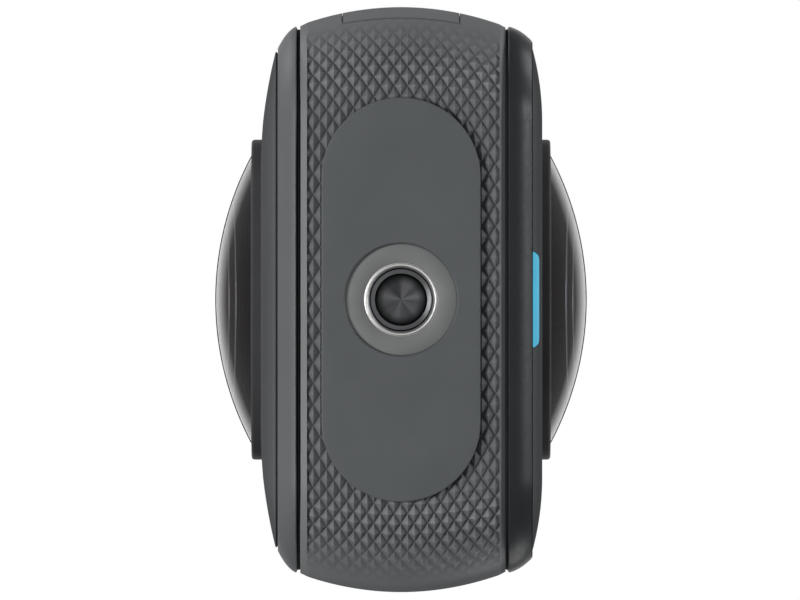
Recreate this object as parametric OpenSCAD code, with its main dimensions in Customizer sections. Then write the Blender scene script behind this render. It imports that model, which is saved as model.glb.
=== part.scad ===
// Pocket 360 degree camera: a slab body that stands on its tripod pad, with a dome lens on each face.
// The pad's face is z = 0. The front, with the screen, looks along -Y, and +Z runs up the body.
// "out" is a distance from the middle plane of the body towards the front.

/* [Body] */
// Width of the body across its crowned sides
body_w = 46.2; // [45:0.1:50]
// Depth of the knurled band that runs round the body, front to rear
band_depth = 16.6; // [16:0.1:18]
// Corner radius of the band, seen from the front
corner_r = 8.5; // [8:0.1:9.5]
// Rise of the band's crown along the sides
side_crown = 1.55; // [1.3:0.05:1.8]
// Rise of the band's crown along the two ends
end_crown = 0.45; // [0.3:0.05:0.7]
// Wall of the band at its edges
band_wall = 1.3; // [1.1:0.05:1.5]
// Height from the pad to the floor of the battery bay
base_bay_h = 11; // [10.5:0.1:14]
// Height of the bay between the battery and the lenses
mid_bay_h = 17.6; // [17.2:0.1:24]
// Height from the lens axis to the top of the body
lens_from_top = 21; // [20:0.1:24]
// Clearance between pieces that are assembled once
slip = 0.1; // [0.05:0.01:0.15]

/* [Base] */
// Length of the pad that the camera stands on
pad_l = 31.8; // [28:0.1:34]
// Width of the pad
pad_w = 12.5; // [11.5:0.1:13.5]
// Thickness of the pad
pad_t = 1.6; // [1.3:0.05:1.8]
// Height that the pad stands below the band
pad_proud = 0.08; // [0.04:0.01:0.2]
// Diameter of the tripod insert's face
insert_d = 8.8; // [8:0.1:10]
// Depth of the insert's face in the pad
insert_set = 0.35; // [0.2:0.05:0.6]
// Height of the insert's flange inside the body
insert_flange_t = 1.3; // [1:0.1:1.6]
// Overall height of the insert
insert_h = 7.1; // [6.9:0.1:7.6]
// Bore of the tripod thread, at its tapping size
thread_d = 5.1; // [5:0.01:5.2]
// Length of the straight thread wall
thread_l = 5.2; // [4.6:0.1:5.4]
// Chamfer at the mouth of the thread
thread_chamfer = 0.32; // [0.2:0.02:0.5]

/* [Shells] */
// Gap between the band and each frame, filled by a gasket
seam_gap = 0.35; // [0.25:0.05:0.5]
// Depth of the gasket below the seam's edge
gasket_set = 0.4; // [0.3:0.05:0.5]
// Width of the gasket
gasket_w = 0.8; // [0.6:0.05:0.9]
// Thickness of the front frame
front_frame_t = 1.35; // [1.2:0.05:1.5]
// Thickness of the rear frame
rear_frame_t = 1.0; // [0.9:0.05:1.2]
// Width of each frame's land
frame_land = 4.6; // [4.3:0.1:5]
// Draw of each frame's bowed edge
frame_draw = 0.8; // [0.6:0.05:1]
// Step from a frame to the cover on it
cover_step = 0.2; // [0.1:0.05:0.4]
// Distance from the middle plane to the covers' flat faces
cover_out = 11.15; // [11.1:0.05:11.6]
// Height of the square edge under a cover's bowed rim
cover_edge = 0.15; // [0.1:0.05:0.3]

/* [Lenses] */
// Outer diameter of a lens bezel
bezel_d = 26.2; // [25:0.1:27]
// Rise of a bezel above its cover
bezel_rise = 1.15; // [0.8:0.05:1.5]
// Width of a bezel's wall
bezel_wall = 0.9; // [0.7:0.05:1]
// Rise of a dome above its bezel
dome_rise = 3.0; // [2.6:0.1:3.4]
// Thickness of a dome at its apex
dome_t = 1.3; // [1:0.1:1.6]
// Height of a dome's straight edge
dome_edge = 0.9; // [0.6:0.1:1]
// Thickness of the seal under a dome
lens_seal_t = 0.4; // [0.3:0.05:0.5]
// Wall of the tube that holds both barrels
mount_wall = 1.9; // [1.6:0.1:2.2]
// Diameter of the second lens element
inner_lens_d = 12; // [11:0.1:13]
// Rise of the second lens element's face
inner_lens_rise = 2.8; // [2.4:0.1:3.2]
// Side of a right-angle prism
prism_side = 5.2; // [4.6:0.1:5.3]
// Height of a prism
prism_h = 7; // [6.6:0.1:8]
// Side of a sensor package along the body
sensor_h = 8; // [7:0.1:9]

/* [Screen and shutter] */
// Diameter of the screen's cover glass
glass_d = 34; // [32:0.1:34.4]
// Thickness of the cover glass
glass_t = 1.0; // [0.9:0.05:1.2]
// Width of the ledge that the glass sits on
glass_ledge = 0.8; // [0.6:0.05:1]
// Thickness of the ledge under the glass
ledge_t = 0.25; // [0.2:0.05:0.4]
// Thickness of the display panel
panel_t = 1.5; // [1.2:0.1:1.7]
// Distance from the lens axis down to the middle of the screen
screen_below_lens = 39; // [36:0.5:41]
// Distance from the middle of the screen down to the shutter button
shutter_below_screen = 31; // [28:0.5:32]
// Diameter of the shutter button
shutter_d = 11.6; // [10:0.1:13]
// Height of the shutter button above the front cover
shutter_proud = 0; // [0:0.05:0.5]
// Width of the lip that keeps the shutter button in
shutter_lip = 0.8; // [0.6:0.1:1]
// Travel of the shutter button
shutter_travel = 0.5; // [0.3:0.05:0.6]
// Length of the status light across the body
light_l = 7.5; // [6:0.1:9]
// Height of the status light
light_h = 2.5; // [2:0.1:2.8]
// Height of the status light's lower edge
light_z = 2; // [1.9:0.1:2.3]

/* [Battery] */
// Thickness of the battery
battery_t = 11; // [10:0.1:11.4]
// Length of the battery up the body
battery_l = 47.6; // [46:0.2:54]
// Clearance round the battery
battery_gap = 0.3; // [0.2:0.05:0.4]
// Wall of the battery bay at its ends
bay_wall = 1.2; // [1:0.1:1.4]
// Wall of the battery bay at its faces
bay_skin = 0.7; // [0.6:0.05:0.8]
// Width that the battery's cover laps past the bay
battery_lip = 0.4; // [0.3:0.05:0.5]
// Clearance round the covers and buttons that move
move_gap = 0.15; // [0.12:0.01:0.2]
// Thickness of the seal round the battery's neck
battery_seal_t = 0.6; // [0.5:0.05:0.8]
// Width of the battery latch
latch_w = 5.6; // [5:0.1:6.4]
// Length of the battery latch
latch_l = 6; // [5:0.1:7]
// Travel of the battery latch
latch_travel = 3; // [2.4:0.1:3.4]
// Reach of the latch's tongue past the battery's cover
tongue_l = 1.2; // [0.9:0.1:1.5]

/* [Side controls] */
// Height of the charging socket's centre
usb_z = 16; // [15.7:0.1:18]
// Width of the charging socket's shell
usb_w = 8.94; // [8.9:0.01:9]
// Thickness of the charging socket's shell
usb_t = 3.26; // [3.2:0.01:3.3]
// Length of the charging socket
usb_l = 7.1; // [6.8:0.1:7.5]
// Width of the charging socket's door
door_w = 9; // [8.6:0.1:9.6]
// Distance from the socket's centre down to the door's lower edge
door_below = 11; // [10:0.1:11.2]
// Distance from the socket's centre up to the door's pivot
door_above = 10; // [9:0.1:11]
// Depth of the door's pivot below the side's crown
pivot_set = 1.1; // [1:0.05:1.15]
// Diameter of the door's hinge pin
pin_d = 0.96; // [0.8:0.02:1]
// Clearance of the hinge pin in its bores
pin_fit = 0.04; // [0.02:0.01:0.06]
// Length of the hinge pin in each wall beside the door
pin_grip = 1.2; // [0.8:0.1:1.6]
// Height of the power button's centre above the battery bay
power_rise = 9; // [8:0.1:10]
// Length of the power button
power_l = 10; // [8:0.1:10.6]
// Width of the power button
power_w = 4; // [3.4:0.1:4.6]
// Depth of the power button's face below the side's crown
power_set = 0.1; // [0.05:0.01:0.2]
// Width of the lip that keeps the power button in
power_lip = 0.8; // [0.6:0.1:1]
// Travel of the power button
power_travel = 0.4; // [0.3:0.05:0.5]

/* [Inside] */
// Wall of the chassis
chassis_wall = 1.25; // [1.1:0.05:1.4]
// Half thickness of the chassis plate that carries the lens tube
plate_half = 1.2; // [1:0.1:1.5]
// Thickness of the circuit boards
board_t = 0.8; // [0.6:0.05:1]
// Distance from the body's edge to the frame screws
screw_in = 2.95; // [2.8:0.05:3.1]
// Diameter of the screws' shanks
screw_d = 1.4; // [1.2:0.05:1.5]
// Diameter of the screws' heads
screw_head_d = 2.6; // [2.2:0.1:2.8]
// Height of the screws' heads
screw_head_h = 0.5; // [0.4:0.05:0.6]
// Width of the memory card
card_w = 11; // [10.9:0.1:11.1]
// Length of the memory card
card_l = 15; // [14.9:0.1:15.1]
// Thickness of the memory card
card_t = 1.0; // [0.7:0.05:1.1]
// Travel of the memory card when it is pushed
card_travel = 0.8; // [0.5:0.1:1]
// Diameter of the microphone holes
mic_d = 1.0; // [0.6:0.1:1.2]
// Diameter of the speaker holes
vent_d = 0.9; // [0.6:0.1:1.2]

/* [Hidden] */
$fn = 96;

// Heights, from the base up
bay_z = [base_bay_h, base_bay_h + battery_l + 2 * battery_gap];
mid_z = [bay_z[1] + bay_wall, bay_z[1] + bay_wall + mid_bay_h];
bezel_flange = 0.7;
mount_r = bezel_d / 2 + bezel_flange;
lens_z = mid_z[1] + mount_r + 2 * slip;
body_h = lens_z + lens_from_top;
screen_z = lens_z - screen_below_lens;
shutter_z = screen_z - shutter_below_screen;
power_z = mid_z[0] + power_rise;
body_z = [pad_proud, body_h];

// Band
half_w = body_w / 2;
band_out = band_depth / 2;
side_r = (pow(band_out, 2) + pow(side_crown, 2)) / (2 * side_crown);
end_r = (pow(band_out, 2) + pow(end_crown, 2)) / (2 * end_crown);
wall_in = side_crown + band_wall;
half_in = half_w - wall_in;
cavity_z = [pad_proud + wall_in, body_h - wall_in];
cavity_r = corner_r - wall_in;
past = 1;

// Frames and covers
frame_w = body_w - 2 * side_crown;
frame_z = [pad_proud + end_crown, body_h - end_crown];
frame_r = corner_r - (side_crown + end_crown) / 2;
frame_out = band_out + seam_gap;
front_in = frame_out + front_frame_t;
rear_in = frame_out + rear_frame_t;
cover_inset = frame_draw + cover_step;
cover_w = frame_w - 2 * cover_inset;
cover_z = [frame_z[0] + cover_inset, frame_z[1] - cover_inset];
cover_r = frame_r - cover_inset;

// Chassis and battery bay
shell_half = half_in - slip;
shell_z = [cavity_z[0] + slip, cavity_z[1] - slip];
shell_r = cavity_r - slip;
room_half = shell_half - chassis_wall;
room_z = [shell_z[0] + chassis_wall, shell_z[1] - chassis_wall];
shell_out = band_out - slip;
bay_out = battery_t / 2 + battery_gap;
board_out = bay_out + bay_skin;
usb_set = 0.25;
usb_x = -half_in + usb_set;
bay_x = usb_x + usb_l + slip + bay_wall;
contact_t = 0.15;
cell_x = [bay_x + battery_gap + contact_t, room_half - battery_gap];
boss_wall = 0.8;
boss_r = screw_d / 2 + boss_wall;
screw_x = frame_w / 2 - screw_in;
board_half = screw_x - boss_r - 5 * slip;
base_screw_rise = 5;
mid_screw_rise = 2;
top_screw_rise = 10;
screw_zs = [bay_z[0] + base_screw_rise, mid_z[0] + mid_screw_rise, lens_z + top_screw_rise];
screw_grip = board_out + 4 * slip;

// Battery cover and latch
lid_out = bay_out + battery_lip;
lid_z = [bay_z[0] - battery_lip, bay_z[1] + battery_lip];
lid_corner = 2;
neck_out = bay_out - battery_seal_t - slip;
neck_z = [bay_z[0] + battery_seal_t + slip, bay_z[1] - battery_seal_t - slip];
latch_floor = 0.9;
latch_x = half_in + latch_floor;
latch_wall = 1.6;
latch_top = lid_z[1] - latch_wall;
latch_z = [latch_top - latch_l, latch_top];
tongue_w = 3;
tongue_t = 0.75;
tongue_x = [latch_x + move_gap, latch_x + move_gap + tongue_t];

// Charging door
pivot_x = -half_w + pivot_set;
pivot_z = usb_z + door_above;
knuckle_r = pivot_set - slip / 2;
door_x = pivot_x + knuckle_r;
door_z0 = usb_z - door_below;
pocket_x = door_x + move_gap;
hood_z = pivot_z + pivot_set + move_gap;
seal_rim = 0.7;
recess_rim = seal_rim + 5 * slip;

// Optics, as distances out from the middle plane
tube_past = 0.55;
mount_out = frame_out + tube_past;
mount_bore = mount_r - mount_wall;
prism_gap = 0.4;
web_t = 0.8;
web_out = [prism_side + prism_gap, prism_side + prism_gap + web_t];
bezel_out = cover_out + bezel_rise;
apex_out = bezel_out + dome_rise;
dome_r = bezel_d / 2 - bezel_wall - slip;
dome_top = bezel_out - slip;
dome_seat = dome_top - dome_edge;
dome_rim = 1.5;
lens_seal_w = 1.1;
barrel_r = mount_bore - slip;
barrel_top = dome_seat - lens_seal_t;
inner_seat = 2;
inner_edge = 1.2;
seat_w = 1.4;
lens_step = web_out[1] + inner_seat;
lens_rim = lens_step + inner_edge;
sensor_t = 1.2;
sensor_x = -prism_side / 2 - 5 * slip;
ear_t = 1.2;
ear_l = 3.6;
ear_w = 5;
ear_r = mount_r + ear_l / 2;
ear_turns = [45 : 90 : 315];
window_w = 2;
window_in = 0.5;
window_h = 8;

// Screen and buttons
glass_out = front_in + ledge_t;
glass_r = glass_d / 2;
panel_r = glass_r - glass_ledge - 2 * slip;
panel_relief = panel_r + 5 * slip;
switch_t = 0.35;
lip_t = 0.6;
stem_r = 1.2;
switch_out = board_out + board_t + switch_t;
shutter_back = front_in - slip;
power_back = -half_in + slip + lip_t;
lip_room = 0.5;
power_stem_l = 0.8;
power_stem = power_back + power_stem_l;
switch_x = power_stem + power_travel + slip;
power_switch_t = 0.8;
tab_t = 1;
tab_out = 3.2;
led_t = 0.7;
foot_l = light_l - light_h;
foot_t = 0.9;
foot_rise = 0.4;
foot_z = room_z[0] + foot_rise;
bridge_t = 0.6;
bridge_z = [light_z + light_h - foot_t, foot_z + foot_t];

// Card and speaker
speaker_d = 9.8;
speaker_w = 5.6;
speaker_h = 12;
cage_wall = 0.4;
card_fit = 2 * slip;
card_side = 1.4;
card_x = room_half - card_side - card_w / 2;
card_in = speaker_w / 2 + cage_wall + card_fit + slip;
card_out = [card_in, card_in + card_t];
card_z = bay_z[1] + 4 * slip;
vent_count = 5;
vent_pitch = 1.7;
mic_x = 10;
mic_out = 4;
mic_l = 3.5;
mic_w = 2.65;
mic_t = 1.1;

// Tripod insert, boards and shields
insert_flange_w = 1.6;
insert_flange_d = insert_d + 2 * insert_flange_w;
tip_step = 0.5;
tip_r = 0.4;
tip_h = 0.9;
board_below = 2;
board_top = mid_z[1] - board_below;
bay_mid = (bay_z[0] + bay_z[1]) / 2;
can_side = 20;
can_t = 1.2;
can_rise = 6;
can_z = bay_mid + can_rise;
spreader_t = 0.5;
spreader_inset = 1;
spreader_rise = 3;
spreader_out = rear_in - slip / 2 - spreader_t;
contact_rise = 6;
contact_z = bay_mid + contact_rise;
contact_count = 4;
contact_pitch = 2.5;
contact_w = 1.6;
contact_l = 3;
connector_end = 0.6;
connector_half = 2;
connector_back = 2.8;
plate_lap = 1.5;
plate_foot = mid_z[1] - plate_lap;

// Shapes shared by several pieces

// Box from ranges across, out and up
module block(x, out, z) {
    translate([x[0], -out[1], z[0]])
        cube([x[1] - x[0], out[1] - out[0], z[1] - z[0]]);
}

// Round bar along the depth of the body
module rod(r, out, x, z) {
    translate([x, -out[0], z])
        rotate([90, 0, 0])
            cylinder(r = r, h = out[1] - out[0]);
}

// Flat outline in X and Z, carried through a range of depth
module through_out(out) {
    translate([0, -out[0], 0])
        rotate([90, 0, 0])
            linear_extrude(out[1] - out[0])
                children();
}

// Flat outline in Y and Z, carried through a range of X
module through_x(x) {
    translate([x[0], 0, 0])
        rotate([90, 0, 90])
            linear_extrude(x[1] - x[0])
                children();
}

// Profile of radius and out, turned about a lens axis
module turned(z) {
    translate([0, 0, z])
        rotate([90, 0, 0])
            rotate_extrude()
                children();
}

// Turns a front piece round to the rear
module rear() {
    rotate([0, 0, 180])
        children();
}

module pill(l, w) {
    square([l - w, w], center = true);
    for (s = [-1, 1])
        translate([s * (l - w) / 2, 0])
            circle(d = w);
}

module upright_pill(l, w, z) {
    translate([0, z])
        rotate(90)
            pill(l, w);
}

module round_rect(w, z, r, grow = 0) {
    h = z[1] - z[0];
    translate([0, (z[0] + z[1]) / 2]) {
        square([w - 2 * r, h + 2 * grow], center = true);
        square([w + 2 * grow, h - 2 * r], center = true);
        for (sx = [-1, 1], sz = [-1, 1])
            translate([sx * (w / 2 - r), sz * (h / 2 - r)])
                circle(r = r + grow);
    }
}

// Profile of radius and out, carried round a rounded rectangle; the radius starts at the corner's centre
module swept(w, z, r) {
    half = [w / 2 - r, (z[1] - z[0]) / 2 - r];
    translate([0, 0, (z[0] + z[1]) / 2])
        rotate([90, 0, 0])
            for (turn = [0 : 3]) {
                away = half[turn % 2];
                along = half[(turn + 1) % 2];
                rotate(90 * turn)
                    translate([away, along, 0]) {
                        rotate_extrude(angle = 90)
                            children();
                        rotate([90, 0, 0])
                            linear_extrude(2 * along)
                                children();
                    }
            }
}

// Body forms that several pieces share

// Plan of the body with its crowned sides
module side_plan(inset = 0) {
    for (s = [0, 1])
        mirror([s, 0])
            intersection() {
                translate([0, -band_out])
                    square([half_w, band_depth]);
                translate([half_w - side_r, 0])
                    circle(r = side_r - inset);
            }
}

// The band's outer form, filled solid
module band_form() {
    intersection() {
        union() {
            swept(body_w, body_z, corner_r)
                intersection() {
                    translate([0, -band_out])
                        square([corner_r, band_depth]);
                    translate([corner_r - end_r, 0])
                        circle(r = end_r);
                }
            block([corner_r - half_w, half_w - corner_r], [-band_out, band_out],
                  [body_z[0] + corner_r, body_z[1] - corner_r]);
        }
        linear_extrude(body_h)
            side_plan();
    }
}

// Frame with a bowed edge and screw holes
module frame(t) {
    bow_r = (pow(frame_draw, 2) + pow(t, 2)) / (2 * frame_draw);
    land_r = frame_r - frame_land;
    difference() {
        swept(frame_w, frame_z, frame_r)
            intersection() {
                translate([land_r, frame_out])
                    square([frame_land, t]);
                union() {
                    translate([land_r, frame_out])
                        square([frame_land - bow_r, t]);
                    translate([frame_r - bow_r, frame_out])
                        circle(r = bow_r);
                }
            }
        for (sx = [-1, 1], z = screw_zs) {
            rod(screw_d / 2 + slip / 2, [frame_out - past, frame_out + t + past], sx * screw_x, z);
            rod(screw_head_d / 2 + slip, [frame_out + t - screw_head_h, frame_out + t + past],
                sx * screw_x, z);
        }
    }
}

module frame_screws(t) {
    head_out = frame_out + t;
    for (sx = [-1, 1], z = screw_zs) {
        rod(screw_head_d / 2, [head_out - screw_head_h, head_out], sx * screw_x, z);
        rod(screw_d / 2, [screw_grip, head_out - screw_head_h], sx * screw_x, z);
    }
}

module gasket() {
    through_out([band_out, frame_out])
        difference() {
            round_rect(frame_w, frame_z, frame_r, -gasket_set);
            round_rect(frame_w, frame_z, frame_r, -gasket_set - gasket_w);
        }
}

// Cover with a bowed rim, before its openings are cut
module cover_form(inner_out) {
    bow_h = cover_out - inner_out - cover_edge;
    bow_r = (pow(cover_r, 2) + pow(bow_h, 2)) / (2 * bow_h);
    swept(cover_w, cover_z, cover_r)
        intersection() {
            translate([0, inner_out])
                square([cover_r, cover_out - inner_out]);
            translate([0, cover_out - bow_r])
                circle(r = bow_r);
        }
    block([cover_r - cover_w / 2, cover_w / 2 - cover_r], [inner_out, cover_out],
          [cover_z[0] + cover_r, cover_z[1] - cover_r]);
}

module lens_opening(inner_out) {
    rod(bezel_d / 2 + slip, [inner_out - past, cover_out + past], 0, lens_z);
}

module bezel(inner_out) {
    turned(lens_z) {
        translate([bezel_d / 2 - bezel_wall, mount_out])
            square([bezel_wall, bezel_out - mount_out]);
        translate([bezel_d / 2 - bezel_wall, mount_out])
            square([bezel_wall + bezel_flange, inner_out - mount_out]);
    }
}

// Meniscus dome: a spherical face, a straight edge and a hollow back
module dome() {
    rise = apex_out - dome_top;
    face_r = (pow(dome_r, 2) + pow(rise, 2)) / (2 * rise);
    back_rise = apex_out - dome_t - dome_seat;
    back_edge = dome_r - dome_rim;
    back_r = (pow(back_edge, 2) + pow(back_rise, 2)) / (2 * back_rise);
    turned(lens_z)
        difference() {
            intersection() {
                translate([0, dome_seat])
                    square([dome_r, apex_out - dome_seat]);
                translate([0, apex_out - face_r])
                    circle(r = face_r);
            }
            translate([0, apex_out - dome_t - back_r])
                circle(r = back_r);
        }
}

module dome_seal() {
    turned(lens_z)
        translate([dome_r - slip - lens_seal_w, barrel_top])
            square([lens_seal_w, lens_seal_t]);
}

// Barrel with a stepped seat and a flared throat
module barrel() {
    seat_r = inner_lens_d / 2 + slip / 2;
    turned(lens_z)
        polygon([
            [seat_r - seat_w, web_out[1]], [barrel_r, web_out[1]], [barrel_r, barrel_top],
            [dome_r - dome_rim, barrel_top], [seat_r, lens_rim], [seat_r, lens_step],
            [seat_r - seat_w, lens_step]
        ]);
}

module inner_lens() {
    r = inner_lens_d / 2;
    face_r = (pow(r, 2) + pow(inner_lens_rise, 2)) / (2 * inner_lens_rise);
    apex = lens_rim + inner_lens_rise;
    turned(lens_z)
        intersection() {
            translate([0, lens_step])
                square([r, apex - lens_step]);
            translate([0, apex - face_r])
                circle(r = face_r);
        }
}

// Right-angle prism that folds the light towards -X
module prism() {
    half = prism_side / 2;
    top = web_out[0];
    translate([0, 0, lens_z - prism_h / 2])
        linear_extrude(prism_h)
            polygon([[-half, -top], [half, -top], [-half, prism_side - top]]);
}

module sensor() {
    block([sensor_x - sensor_t, sensor_x], [web_out[0] - prism_side + 2 * slip, web_out[0] - 2 * slip],
          [lens_z - sensor_h / 2, lens_z + sensor_h / 2]);
}

module sensor_board() {
    board_past = 1.5;
    half = sensor_h / 2 + board_past;
    block([sensor_x - sensor_t - board_t, sensor_x - sensor_t], [web_out[0] - prism_side, web_out[0]],
          [lens_z - half, lens_z + half]);
}

// Housing

module side_band() {
    color("#6b6d6f")
        difference() {
            band_form();
            through_out([-band_out - past, band_out + past])
                round_rect(2 * half_in, cavity_z, cavity_r);
            pad_recess();
            battery_opening();
            door_pocket();
            power_opening();
            microphone_holes();
            speaker_holes();
        }
}

module pad_recess() {
    translate([0, 0, -past])
        linear_extrude(pad_t + past)
            pill(pad_l + 2 * slip, pad_w + 2 * slip);
    cylinder(d = insert_d + slip, h = cavity_z[0] + past);
}

// Opening for the battery's cover, with the latch's notch above it
module battery_opening() {
    through_x([half_in - past, half_w + past])
        round_rect(2 * lid_out, lid_z, lid_corner, move_gap);
    block([latch_x, half_w + past], [-tongue_w / 2 - 2 * move_gap, tongue_w / 2 + 2 * move_gap],
          [lid_z[1], lid_z[1] + tongue_l + 2 * move_gap]);
}

// Pocket for the charging door, with its hinge bores and the seal's recess
module door_pocket() {
    half = door_w / 2 + move_gap;
    rim = recess_rim;
    block([-half_w - past, pocket_x], [-half, half], [door_z0 - move_gap, hood_z]);
    rod(pin_d / 2 + pin_fit / 2, [-half - pin_grip, half + pin_grip], pivot_x, pivot_z);
    block([pocket_x - past, -half_in + past], [-usb_t / 2 - rim, usb_t / 2 + rim],
          [usb_z - usb_w / 2 - rim, usb_z + usb_w / 2 + rim]);
}

module power_opening() {
    through_x([-half_w - past, -half_in + past])
        upright_pill(power_l + 2 * move_gap, power_w + 2 * move_gap, power_z);
}

module microphone_holes() {
    for (sx = [-1, 1], so = [-1, 1])
        translate([sx * mic_x, so * mic_out, room_z[1] - past])
            cylinder(d = mic_d, h = body_h);
}

module speaker_holes() {
    for (i = [0 : vent_count - 1])
        translate([room_half - past, 0, power_z + (i - (vent_count - 1) / 2) * vent_pitch])
            rotate([0, 90, 0])
                cylinder(d = vent_d, h = half_w);
}

module base_pad() {
    color("#57595b")
        difference() {
            linear_extrude(pad_t)
                pill(pad_l, pad_w);
            translate([0, 0, -past])
                cylinder(d = insert_d + slip, h = pad_t + 2 * past);
        }
}

// Tripod insert with a blind threaded bore
module tripod_insert() {
    bore_r = thread_d / 2;
    wall_z = insert_set + thread_chamfer;
    color("#6e7170")
        difference() {
            union() {
                translate([0, 0, insert_set])
                    cylinder(d = insert_d, h = insert_h);
                translate([0, 0, cavity_z[0]])
                    cylinder(d = insert_flange_d, h = insert_flange_t);
            }
            translate([0, 0, insert_set])
                cylinder(r1 = bore_r + thread_chamfer, r2 = bore_r, h = thread_chamfer);
            translate([0, 0, wall_z])
                cylinder(r = bore_r, h = thread_l);
            translate([0, 0, wall_z + thread_l])
                cylinder(r1 = bore_r - tip_step, r2 = tip_r, h = tip_h);
        }
}

module front_gasket() {
    color("#101112")
        gasket();
}

module rear_gasket() {
    color("#101112")
        rear()
            gasket();
}

module front_frame() {
    half = foot_l / 2 + 2 * slip;
    color("#343638")
        difference() {
            frame(front_frame_t);
            block([-half, half], [front_in - bridge_t - slip, front_in + past],
                  [bridge_z[0] - 2 * slip, frame_z[0] + frame_land + past]);
            block([-half, half], [frame_out - past, front_in],
                  [foot_z - 2 * slip, frame_z[0] + frame_land + past]);
            rod(panel_relief, [frame_out - past, front_in + past], 0, screen_z);
        }
}

module rear_frame() {
    color("#67696b")
        rear()
            frame(rear_frame_t);
}

module front_cover() {
    color("#2b2c2e")
        difference() {
            cover_form(front_in);
            lens_opening(front_in);
            rod(glass_r + slip, [glass_out, cover_out + past], 0, screen_z);
            rod(glass_r - glass_ledge, [front_in - past, glass_out + past], 0, screen_z);
            rod(shutter_d / 2 + move_gap, [front_in - past, cover_out + past], 0, shutter_z);
            light_slot([front_in - past, cover_out + past], slip / 2);
        }
}

module rear_cover() {
    color("#535557")
        rear()
            difference() {
                cover_form(rear_in);
                lens_opening(rear_in);
            }
}

module front_frame_screws() {
    color("#8a8c8e")
        frame_screws(front_frame_t);
}

module rear_frame_screws() {
    color("#8a8c8e")
        rear()
            frame_screws(rear_frame_t);
}

// Chassis: a wall round the body, the battery bay, the lens plate and the screw bosses
module chassis() {
    lip_past = power_lip + lip_room;
    color("#8f9397")
        difference() {
            union() {
                through_out([-shell_out, shell_out])
                    difference() {
                        round_rect(2 * shell_half, shell_z, shell_r);
                        round_rect(2 * room_half, room_z, shell_r - chassis_wall);
                    }
                bay_walls();
                lens_plate();
                screw_bosses();
                power_tab();
            }
            through_x([bay_x, shell_half + past])
                round_rect(2 * bay_out, bay_z, lid_corner);
            cylinder(d = insert_flange_d + 2 * slip, h = cavity_z[0] + insert_flange_t + past);
            block([usb_x - past, usb_x + usb_l + slip], [-usb_t / 2 - slip, usb_t / 2 + slip],
                  [usb_z - usb_w / 2 - slip, usb_z + usb_w / 2 + slip]);
            through_x([-shell_half - past, -room_half + past])
                upright_pill(power_l + 2 * lip_past, power_w + 2 * lip_past, power_z);
            connector_body(slip, past);
            card_slot();
            microphone_holes();
            speaker_holes();
            lens_screw_holes();
            frame_screw_holes();
        }
}

module bay_walls() {
    block([bay_x - bay_wall, shell_half], [-board_out, board_out],
          [bay_z[0] - bay_wall, bay_z[1] + bay_wall]);
    block([-room_half - slip, bay_x], [-board_out, board_out], [bay_z[0] - bay_wall, bay_z[0]]);
    block([-room_half - slip, bay_x], [-board_out, board_out], [bay_z[1], bay_z[1] + bay_wall]);
}

// Plate round the lens tube
module lens_plate() {
    through_out([-plate_half, plate_half])
        difference() {
            intersection() {
                round_rect(2 * shell_half, shell_z, shell_r);
                translate([-shell_half, plate_foot])
                    square([2 * shell_half, body_h]);
            }
            translate([0, lens_z])
                circle(r = mount_r + 2 * slip);
        }
}

module at_screw_bosses() {
    for (turn = [0, 180], sx = [-1, 1], z = screw_zs)
        rotate([0, 0, turn])
            translate([sx * screw_x, 0, z])
                children();
}

module screw_bosses() {
    at_screw_bosses()
        rod(boss_r, [board_out, frame_out], 0, 0);
}

module frame_screw_holes() {
    at_screw_bosses()
        rod(screw_d / 2 + slip / 5, [board_out, frame_out + past], 0, 0);
}

// Upright tab behind the power switch
module power_tab() {
    x = switch_x + power_switch_t;
    block([x, x + tab_t], [-tab_out, tab_out], [mid_z[0] - bay_wall / 2, plate_foot + plate_lap / 2]);
}

// Optics

module at_lens_ears() {
    translate([0, 0, lens_z])
        for (turn = ear_turns)
            rotate([0, turn, 0])
                children();
}

module lens_ears() {
    at_lens_ears()
        difference() {
            block([mount_r - mount_wall / 2, mount_r + ear_l], [plate_half, plate_half + ear_t],
                  [-ear_w / 2, ear_w / 2]);
            rod(screw_d / 2 + slip / 2, [plate_half - past, plate_half + ear_t + past], ear_r, 0);
        }
}

module lens_screw_holes() {
    at_lens_ears()
        rod(screw_d / 2 + slip / 5, [-plate_half - past, plate_half + past], ear_r, 0);
}

// Tube that holds both barrels, with a web behind each one and windows for the sensor boards
module lens_tube() {
    web_hole = prism_side / 2 + 3 * slip;
    window_out = plate_half + window_in;
    color("#55585b")
        difference() {
            union() {
                turned(lens_z) {
                    translate([mount_bore, -mount_out])
                        square([mount_wall, 2 * mount_out]);
                    for (s = [0, 1])
                        mirror([0, s])
                            translate([web_hole, web_out[0]])
                                square([mount_bore + mount_wall / 2 - web_hole, web_t]);
                }
                lens_ears();
            }
            block([-mount_r - past, mount_r + past], [-window_out - window_w, -window_out],
                  [lens_z - window_h / 2, lens_z + window_h / 2]);
        }
}

module lens_tube_screws() {
    color("#8a8c8e")
        at_lens_ears() {
            rod(screw_head_d / 2, [plate_half + ear_t, plate_half + ear_t + screw_head_h], ear_r, 0);
            rod(screw_d / 2, [-plate_half, plate_half + ear_t], ear_r, 0);
        }
}

module front_bezel() {
    color("#2a2b2d")
        bezel(front_in);
}

module rear_bezel() {
    color("#2a2b2d")
        rear()
            bezel(rear_in);
}

module front_dome() {
    color("#5a5468", 0.5)
        dome();
}

module rear_dome() {
    color("#5a5468", 0.5)
        rear()
            dome();
}

module front_dome_seal() {
    color("#0c0c0d")
        dome_seal();
}

module rear_dome_seal() {
    color("#0c0c0d")
        rear()
            dome_seal();
}

module front_barrel() {
    color("#141415")
        barrel();
}

module rear_barrel() {
    color("#141415")
        rear()
            barrel();
}

module front_inner_lens() {
    color("#3c3a58", 0.6)
        inner_lens();
}

module rear_inner_lens() {
    color("#3c3a58", 0.6)
        rear()
            inner_lens();
}

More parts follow.
